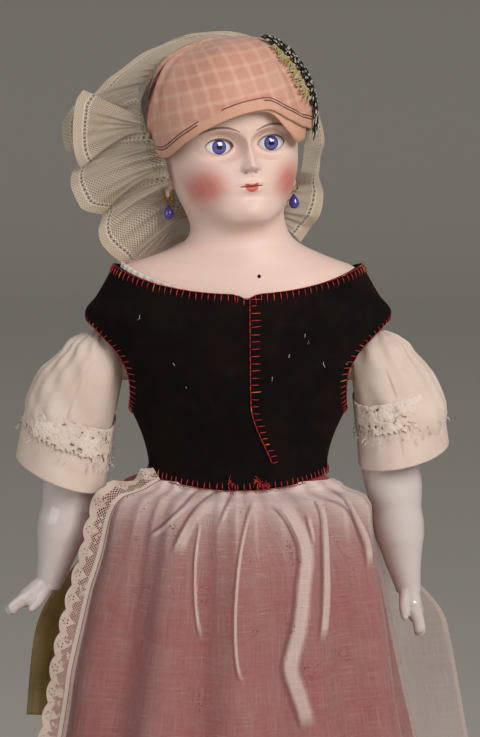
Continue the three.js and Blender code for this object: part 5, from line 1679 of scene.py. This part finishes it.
def apron_grid(drop):
    """Rows of the apron from the doll's right edge to the left, with both free edges."""
    share = np.linspace(0, 1, apron_columns)[None, :]
    turn = np.radians(mix(-apron_turn_right(drop), apron_turn_left(drop), share))
    on, ply_and_highlight, fold_shadow = apron_row(drop, turn, 0.9)
    outwards = np.linspace(1, 0, free_columns_right, endpoint=False)[None, :, None]
    right = outwards * apron_free_right(drop)[..., None]
    outwards = np.linspace(0, 1, free_columns_left + 1)[1:][None, :, None]
    left = outwards * apron_free_left(drop)[..., None]
    sag = 2.0 * np.sin(left / 7 + drop[..., None] / 40) * smoothstep(4, 20, left)
    wing_right = on[:, :1] + right * np.array([-0.87, 0.5, 0])
    wing_left = on[:, -1:] + left * np.array([0.87, 0.5, 0]) + sag * np.array([0.5, -0.87, 0])
    grid = np.concatenate([wing_right, on, wing_left], axis=1)
    plain = [(0, 0), (free_columns_right, free_columns_left)]
    return grid, np.pad(ply_and_highlight, plain), np.pad(fold_shadow, plain)


def build_apron():
    """The sheet, with closer rows under the waistband, and its two laces."""
    length = waist_height - apron_hem
    drop = np.concatenate([np.linspace(5, 40, 60), np.linspace(40, length, 130)[1:]])[:, None]
    grid, ply_and_highlight, fold_shadow = apron_grid(drop)
    hem = np.zeros(grid.shape[:2])
    hem[:, :5] = 1
    hem[:, -3:] = 0.5
    hem[-4:] = 1
    cloth("muslin_apron", grid[::-1], sheer_muslin, "torso", ["apron"],
          values={"ply_and_highlight": ply_and_highlight[::-1], "fold_shadow": fold_shadow[::-1], "hem": hem[::-1]})
    lace_drop = np.linspace(5, length, 260)[:, None]
    edge = apron_grid(lace_drop)[0][:, :1]
    down = unit(np.gradient(edge, axis=0))
    away = np.array([-0.95, 0.3, 0])
    away = unit(away - (away * down).sum(axis=-1, keepdims=True) * down)
    width = np.minimum(lace_width, 8 + 0.3 * lace_drop)
    share = np.linspace(1, 0, 12)[None, :]
    wave = 0.8 * np.sin(lace_drop / 8 + share) * share
    strip = edge + (0.3 + share * width)[..., None] * away + wave[..., None] * np.array([0.3, 0.95, 0])
    run = lengths(strip, 0)[:, -1:] + 0 * share
    cloth("side_lace", strip[::-1], white_lace, "torso", ["apron_lace"],
          values={"run": run[::-1], "out": (share * lace_width + 0 * lace_drop)[::-1]})
    down = np.linspace(0.3, lace_width, 10)[:, None]
    bottom = grid[-1:]
    below = np.stack([bottom[0] - [0, 0, d] for d in down[:, 0]])
    flare = skirt_half_depth(length + down) - skirt_half_depth(length)
    below = below + unit(below * [1, 1, 0]) * flare[..., None]
    run = lengths(below, 1)
    cloth("hem_lace", below[::-1], white_lace, "torso", ["apron_hem_lace"],
          values={"run": run[::-1], "out": (down + 0 * run)[::-1]})


# Apron strings

def beside_skirt(drop, degrees, off):
    turn = math.radians(degrees)
    x, y = float(skirt_half_width(drop)) + off, float(skirt_half_depth(drop)) + off
    return [x * math.sin(turn), -y * math.cos(turn), waist_height - drop]


def ribbon_tail(name, stops, first, last, node):
    stops = np.array(stops, float)
    along = distances(stops)
    t = np.linspace(0, along[-1], 110)
    path = np.stack([curve(t) for curve in curves(np.column_stack([along, stops]))], axis=1)
    for _ in range(30):
        path[1:-1] = mix(path[1:-1], (path[:-2] + path[2:]) / 2, 0.5)
    s = np.linspace(0, 1, 110)[:, None]
    across = mix(np.array(first, float), np.array(last, float), np.minimum(1, 1.6 * s))
    across = unit(across)
    width = mix(5, tie_width, np.minimum(1, 3 * s))
    share = np.linspace(0.5, -0.5, 16)[None, :, None]
    grid = path[:, None] + across[:, None] * share * width[:, None]
    normal = unit(np.cross(across, np.gradient(path, axis=0)))
    curl = 1.3 * np.cos(share * 5 + 6 * s[:, None]) * smoothstep(0.1, 0.5, s)[:, None]
    cloth(name, grid + normal[:, None] * curl, gold_silk, "torso", [node],
          thickness=0.5)


def build_ties():
    turn = np.radians(np.linspace(75, 285, 200))[None, :]
    low = 2.2 + 6 * bell(turn, math.pi, math.radians(48))
    drop = mix(-2.3, low, np.linspace(0, 1, 12)[:, None])
    crease = 0.25 * np.sin(drop * 2.2 + 3 * np.sin(turn * 5))
    band = skirt_point(drop[::-1], turn, 0.9 + crease)
    cloth("waist_ribbon", band, gold_silk, "torso", ["apron_tie"],
          thickness=0.6)
    knot_drop = gather_drop + 6
    knot_back = float(skirt_half_depth(knot_drop) + fold_depth(knot_drop) + 4.1 * lean(knot_drop))
    at = np.array([0, knot_back, waist_height - knot_drop])
    knot = ball(at, [4.6, 4.2, 4.8], 30, 48)
    off = knot - at
    knot = knot + off * (0.06 * np.sin(np.arctan2(off[..., 2], off[..., 0]) * 7 + off[..., 1]))[..., None]
    loft_piece("bow_middle", knot, gold_silk, "torso", ["bow_knot"])
    for name, side in SIDES.items():
        t = full_turn(90)[None, :]
        across = np.linspace(-1, 1, 18)[:, None]
        taper = 0.55 - 0.45 * np.cos(t)
        pinch = mix(0.45, 1.0, taper)
        x = side * (4.9 + 10.2 - 10.0 * np.cos(t))
        z = -6.8 * taper * np.sin(t) - 1.2 * (1 - np.cos(t)) * 0.6
        y = 5.4 * across * pinch + 0.9 + 0.5 * np.sin(across * 6 + t * 2) * taper
        loop = stacked(x + 0 * across, y, z + 0 * across) + at
        cloth(f"bow_loop_ribbon_{name}", loop if side > 0 else loop[::-1], gold_silk, "torso",
              [f"bow_loop_{name}"], around=True, thickness=0.5)
    start = {side: at + [side * 4, 1, -6] for side in (-1, 1)}
    right_stops = ((30, -153, 21), (58, -125, 25), (88, -112, 28), (130, -108, 21))
    left_stops = ((34, 170, 18), (72, 167, 21), (126, 167, 20))
    right = [beside_skirt(*stop) for stop in right_stops]
    left = [beside_skirt(*stop) for stop in left_stops]
    ribbon_tail("ribbon_tail_right", [start[-1], *right], (-1, 0, -0.6), (-1, 0.1, 0), "tie_tail_right")
    ribbon_tail("ribbon_tail_left", [start[1], *left], (1, 0, -0.6), (1, -0.1, 0), "tie_tail_left")


# Body and arms

torso_foot = 263.4
torso_top = 445
torso_half_width = through([
    [torso_foot, 39], [273.4, 45], [298.8, 47], [342, 36], [356, 36], [401, 48], [419, 48], [438, 41],
    [torso_top, 31]])
torso_half_depth = through([
    [torso_foot, 19], [273.4, 29], [298.8, 33], [342, 27], [356, 27], [395, 29], [406, 29.6], [421, 26],
    [438, 18], [torso_top, 13]])
upper_arm_radius = through([[-40, 10.6], [-34, 12], [-20, 12.6], [-4, 12], [6, 10], [12, 4]])
china_foot = -112
china_top = -40.4
china_radius = through([
    [-110, 6.3], [-104, 7.5], [-96, 9.2], [-90, 10.6], [-84, 12.0], [-78, 12.5], [-71, 12.2], [-64, 13.4],
    [-56, 14.2], [-46, 14.0], [china_top, 13.2]])
china_shift = through([[-138, 9], [-126, 7.5], [-110, 5.5], [-96, 4], [-64, 2.5], [-46, 0.6], [-40, 0]])
sleeve_radius = through([
    [-60, 22], [-40, 21.5], [-26, 20], [-12, 18.6], [0, 17.4], [8, 15.4], [13, 10.5], [16, 4]])
sleeve_puff = through([[-40, 0], [-22, 2.4], [-10, 2.2], [4, 0.8], [12, 0]])
sleeve_shift = through([[-60, 8], [-40, 7.6], [-26, 6.6], [-12, 4.2], [4, 0]])
wrist_drop = 108
wrist_bend = {"left": math.radians(9), "right": math.radians(42)}
cuff_rise = {"left": 0.15, "right": 0.2}
cuff_droop = 0.2
# Where a sleeve meets the bodice it is pressed flatter than this far inside the arm
sleeve_inside = -13


def tipped(points, angle):
    """Points turned about Y, so that what hangs down swings towards +X for a negative angle."""
    x, y, z = (points[..., i] for i in range(3))
    return stacked(x * math.cos(angle) + z * math.sin(angle), y, z * math.cos(angle) - x * math.sin(angle))


def hung(points, name):
    """Arm points, with the joint at zero, put where the arm hangs."""
    side = SIDES[name]
    return tipped(points, -side * arm_tilt[name]) + [side * joint_x, 0, shoulder_height]


def build_torso():
    rings = ovals(np.linspace(torso_foot, torso_top, 70), torso_half_width, torso_half_depth, count=80)
    made = loft_piece("stuffed_torso", rings, calico, "torso", ["torso"])


def finger(stops, radius, breadth, rows=18):
    """Level rings of a finger through [x, y, z] stops, from its round tip to its root."""
    stops = np.array(stops, float)
    height = stops[:, 2]
    z = height[0] + (height[-1] - height[0]) * (1 - np.cos(np.linspace(0.02, math.pi / 2, rows)))
    size = mix(radius[0], radius[1], (z - height[0]) / (height[-1] - height[0]))
    up = np.clip((z - height[0]) / radius[0], 0, 1)
    size = size * np.sqrt(np.clip(1 - (1 - up) ** 2, 0.01, 1))
    x, y = (curve(z) for curve in curves(stops[:, [2, 0, 1]]))
    return ovals(z, size * breadth, size, x=x, y=y, count=18)


def hand_shapes(side):
    level = np.linspace(-126.5, -106, 24)
    half, deep = curves([[-126.5, 3.6, 6.2], [-121, 4.8, 7.4], [-114, 5.2, 6.6], [-106, 5.6, 5.8]])
    shapes = [ovals(level, half, deep, x=side * through([[-126.5, 0.6], [-118, 0]])(level), count=32)]
    for y, length in zip((-5.0, -1.7, 1.7, 4.8), (8.6, 10.4, 10, 7.6)):
        stops = [[0.3 * side, y * 0.78, -124.2 - length], [1.0 * side, y * 0.86, -123 - length * 0.6],
                 [0.8 * side, y * 0.96, -123.5], [0.2 * side, y, -117]]
        shapes.append(finger(stops, (2.0, 2.3), 1.45))
    thumb = [[-5.0 * side, -6.6, -124.5], [-4.6 * side, -6.4, -119], [-1.6 * side, -3.4, -110]]
    shapes.append(finger(thumb, (1.8, 3.0), 1.0))
    return shapes


def build_arm(name, side):
    body = f"{name}_arm"
    flesh = loft(hung(ovals(np.linspace(-40, 12, 30), upper_arm_radius, upper_arm_radius, count=40), name))
    reach = [circle([side * (joint_x - at), 0, shoulder_height], 8, [0, 1, 0], [0, 0, -side], 32)
             for at in (20, 0)]
    points, faces = together([flesh, loft(np.array(reach))])
    arm = piece(f"stuffed_arm_{name}", points, faces, calico, body, [f"upper_arm_{name}"])

    level = np.linspace(china_foot, china_top, 90)
    forearm = ovals(level, china_radius, china_radius, x=side * china_shift(level), count=72)
    wrist = np.array([side * float(china_shift(-wrist_drop)), 0, -wrist_drop])
    bend = -side * wrist_bend[name]
    hand = [tipped(shape + [0, 0, wrist_drop], bend) + wrist for shape in hand_shapes(side)]
    neck = ovals(np.linspace(-44, -32, 3), 8.6, 8.6, count=40)
    points, faces = together([loft(hung(shape, name)) for shape in (forearm, neck, *hand)])
    made = piece(f"china_arm_{name}", points, faces, china, body, [f"lower_arm_{name}"])
    remesh = made.modifiers.new("one skin", "REMESH")
    remesh.mode = "VOXEL"
    remesh.voxel_size = 0.55 * MM
    remesh.use_smooth_shade = True
    smooth = made.modifiers.new("fired smooth", "SMOOTH")
    smooth.iterations = 7
    smooth.factor = 0.5


def sleeve_grid(name, levels, out, seed, crease, puffed=0):
    """Rings of a sleeve: uneven long puckers, soft dents that grow with crease, and an end cut on a slope."""
    side = SIDES[name]
    z = np.asarray(levels, float)[:, None]
    turn = full_turn(200)[None, :]
    pucker_depth = through([[-60, 0.15], [-10, 0.5], [8, 1.0], [16, 0.6]])
    pucker = np.sin(turn * 13 + 2.5 * np.sin(2 * turn + seed) + 0.05 * z) * pucker_depth(z)
    dent = ripple(turn * 20, z * 1.3, seed, 5.5) + 0.6 * ripple(turn * 20 + z, z * 0.6, seed + 1, 2.6)
    puff_out = puffed * sleeve_puff(z)
    size = sleeve_radius(z) + out + puff_out + crease * (0.8 * dent + 0.5 * pucker - 0.7)
    slope = through([[-60, 1], [-sleeve_drop[name] + cuff_turn_up, 1], [8, 0], [16, 0]])(z)
    rise = slope * (side * cuff_rise[name] * size * np.sin(turn) - cuff_droop * size * np.cos(turn))
    outward = sleeve_shift(z) + puff_out + size * side * np.sin(turn)
    pressed = sleeve_inside + 0.4 * (outward - sleeve_inside)
    outward = np.where(outward < sleeve_inside, pressed, outward)
    return hung(stacked(side * outward, -size * np.cos(turn), z + rise), name)


def build_sleeve(name, side):
    body = f"{name}_arm"
    foot = -sleeve_drop[name]
    levels = np.concatenate([np.linspace(foot, 8, 80), np.linspace(8, 16, 18)[1:]])
    sleeve = sleeve_grid(name, levels, 0, 3 + side, 1.1, 1)
    cloth(f"cotton_sleeve_{name}", sleeve, cream_cotton, body, [f"sleeve_{name}"],
          around=True, thickness=0.8)
    levels = np.linspace(foot - 2, foot + cuff_turn_up, 44)
    cuff = sleeve_grid(name, levels, 1.7, 12 + side, 0.55)
    cloth(f"turned_cuff_{name}", cuff, cream_cotton, body, [f"cuff_{name}"],
          around=True, thickness=1.2)
    levels = np.linspace(foot + cuff_turn_up - 17, foot + cuff_turn_up + 1.2, 18)
    trim = sleeve_grid(name, levels, 2.9, 12 + side, 0.75)
    edge = np.broadcast_to((levels - levels[0])[:, None], trim.shape[:2])
    dice = np.random.default_rng(31 + side)
    paths = []
    for column in dice.choice(trim.shape[1], 70):
        root = trim[dice.integers(0, 4), column]
        away = unit((root - trim.mean(axis=(0, 1))) * [1, 1, 0])
        drift = dice.normal(0, 0.9, 3) + 0.5 * away
        end = root + drift - [0, 0, dice.uniform(0.5, 3.0)]
        paths.append(np.stack([root, mix(root, end, 0.5) + 0.8 * away, end + 0.4 * away]))
    fray = tube_piece(f"frayed_ends_{name}", paths, 0.2, cream_cotton, body, sides=5)
    cloth(f"crochet_trim_{name}", trim, cuff_lace, body, [f"cuff_trim_{name}"],
          around=True, thickness=1.1, values={"edge": edge})


# Legs

thigh_half_width = through([
    [-115.6, 13], [-105.6, 15], [-84, 17], [-60, 18.5], [-34, 20], [-14, 19.5], [0, 17], [5, 15]])
thigh_half_depth = through([
    [-115.6, 4.5], [-105.6, 10], [-84, 15.5], [-60, 18], [-34, 18.5], [-14, 14], [0, 5], [3.5, 3.5], [5, 1]])
shin_half_width = through([[-108, 9], [-95, 9.5], [-75, 11.5], [-45, 14], [-20, 13.5], [0, 12.5], [4, 11]])
shin_half_depth = through([
    [-108, 10], [-95, 10], [-75, 12], [-45, 14], [-20, 12.5], [-8, 9], [0, 4], [2.8, 2.8], [4, 1]])
boot_half_width, boot_front, boot_back = curves([
    [4, 12, 42, 22], [10, 13.2, 43, 23], [18, 12.6, 36, 22.5], [26, 12.4, 24, 20], [36, 12.2, 14.5, 15],
    [52, 12.9, 13.1, 13.1], [66, 14.4, 14.9, 14.9]])
sole_thickness = 3.6
sole_half_width, sole_front, sole_back = curves([
    [0, 12.2, 42.6, 22.6], [1, 12.7, 43.2, 23.2], [3, 13, 43.5, 23.5], [sole_thickness, 12.8, 43.2, 23.2]])
drawers_ease = 1.6


def build_leg(name, side):
    hip = np.array([side * leg_spread, 0, hip_height])
    knee = np.array([side * leg_spread, 0, knee_height])
    floor = np.array([side * leg_spread, 0, 0])
    thigh_body, shin_body = f"{name}_thigh", f"{name}_shin"
    thigh = ovals(np.linspace(-115.6, 5, 50), thigh_half_width, thigh_half_depth, count=56) + hip
    made = loft_piece(f"stuffed_thigh_{name}", thigh, calico, thigh_body, [f"thigh_{name}"])
    level = np.linspace(-96, -14, 50)
    wide = thigh_half_width(level) + drawers_ease
    deep = thigh_half_depth(level) + drawers_ease
    leg = ovals(level, wide, deep, count=120) + hip
    wave = 0.35 * np.sin(full_turn(120) * 11)[None, :, None]
    leg = leg + wave * (leg - hip) * [1, 1, 0] / 20
    cloth(f"drawers_leg_{name}", leg, white_cotton, thigh_body, [f"drawers_{name}"],
          around=True, thickness=0.8)
    shin = ovals(np.linspace(-108, 4, 50), shin_half_width, shin_half_depth, count=56) + knee
    made = loft_piece(f"stuffed_shin_{name}", shin, white_cotton, shin_body, [f"shin_{name}"])
    boot = ovals(np.linspace(4, 66, 60), boot_half_width, boot_front, boot_back, count=72) + floor
    loft_piece(f"leather_boot_{name}", boot, black_leather, shin_body, [f"boot_{name}"])
    sole = ovals(np.linspace(0, sole_thickness, 9), sole_half_width, sole_front, sole_back, count=72) + floor
    loft_piece(f"leather_sole_{name}", sole, sole_leather, shin_body, [f"boot_sole_{name}"])


def paint_kept_solids():
    kept = {"eye_plaster": plaster, "crown_pate": cork}
    for name in SIDES:
        kept[f"arm_binding_{name}"] = thread
    for node, material in kept.items():
        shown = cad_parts[node]
        shown.data.materials.clear()
        shown.data.materials.append(material)


# Floor, light and camera

floor_reach = 8
cove_start = 5
wall_height = 3.5
floor_drop = 0.0002
camera_target = np.array([0.00095, -0.02, 0.4006])
camera_distance = 1.5
camera_lift = math.radians(6)
camera_lens = 154
room_light = 0.26


def build_stage():
    """A wide floor that bends up into a far wall, over a cove one metre in radius."""
    bend = np.linspace(0, math.pi / 2, 16)
    floor = np.linspace(-floor_reach, cove_start, 40)[:-1]
    depth = np.concatenate([floor, cove_start + np.sin(bend), [cove_start + 1]])
    height = np.concatenate([0 * floor, 1 - np.cos(bend), [wall_height]])
    across = np.linspace(-floor_reach, floor_reach, 33)
    grid = stacked(across[None, :], depth[:, None], height[:, None] - floor_drop)
    sweep = placed("backdrop", mesh_over("backdrop", grid, quads(*grid.shape[:2])))
    paper = Paint("backdrop paper", roughness=1.0, specular=0.0)
    sweep.data.materials.append(paper.color("cfc9c0").material)


def add_light(name, at, aim, size, watts, tint):
    light = bpy.data.lights.new(name, "AREA")
    light.size = size
    light.energy = watts
    light.color = tint
    look(placed(name, light), at, aim)


def look(thing, at, aim):
    """Puts a lamp or camera at a place, looking at a point, with its top up."""
    at, aim = np.array(at, float), np.array(aim, float)
    back = (at - aim) / np.linalg.norm(at - aim)
    right = np.cross([0, 0, 1], back)
    right /= np.linalg.norm(right)
    up = np.cross(back, right)
    matrix = np.eye(4)
    matrix[:3, 0], matrix[:3, 1], matrix[:3, 2], matrix[:3, 3] = right, up, back, at
    thing.matrix_world = Matrix(matrix.tolist())


def build_view():
    camera = bpy.data.cameras.new("camera")
    camera.lens = camera_lens
    camera.dof.use_dof = False
    eye = placed("camera", camera)
    back = np.array([0, -math.cos(camera_lift), math.sin(camera_lift)])
    look(eye, camera_target + camera_distance * back, camera_target)
    bpy.context.scene.camera = eye
    add_light("key", (0.75, -1.05, 1.15), camera_target, 0.7, 17, (1.0, 0.97, 0.93))
    add_light("fill", (-1.1, -0.9, 0.75), camera_target, 1.1, 4.5, (0.98, 0.98, 1.0))
    world = bpy.data.worlds.new("room")
    world.use_nodes = True
    background = world.node_tree.nodes["Background"]
    background.inputs["Strength"].default_value = room_light
    background.inputs["Color"].default_value = (1, 1, 1, 1)
    bpy.context.scene.world = world
    bpy.context.scene.view_settings.view_transform = "Standard"


build_head()
build_eyes()
build_wig()
build_scarf()
build_fringe()
build_cap()
build_ruffle()
build_earrings()
build_torso()
build_blouse()
build_bodice()
build_skirts()
build_apron()
build_ties()
for name, side in SIDES.items():
    build_arm(name, side)
    build_sleeve(name, side)
    build_leg(name, side)
paint_kept_solids()
build_stage()
build_view()
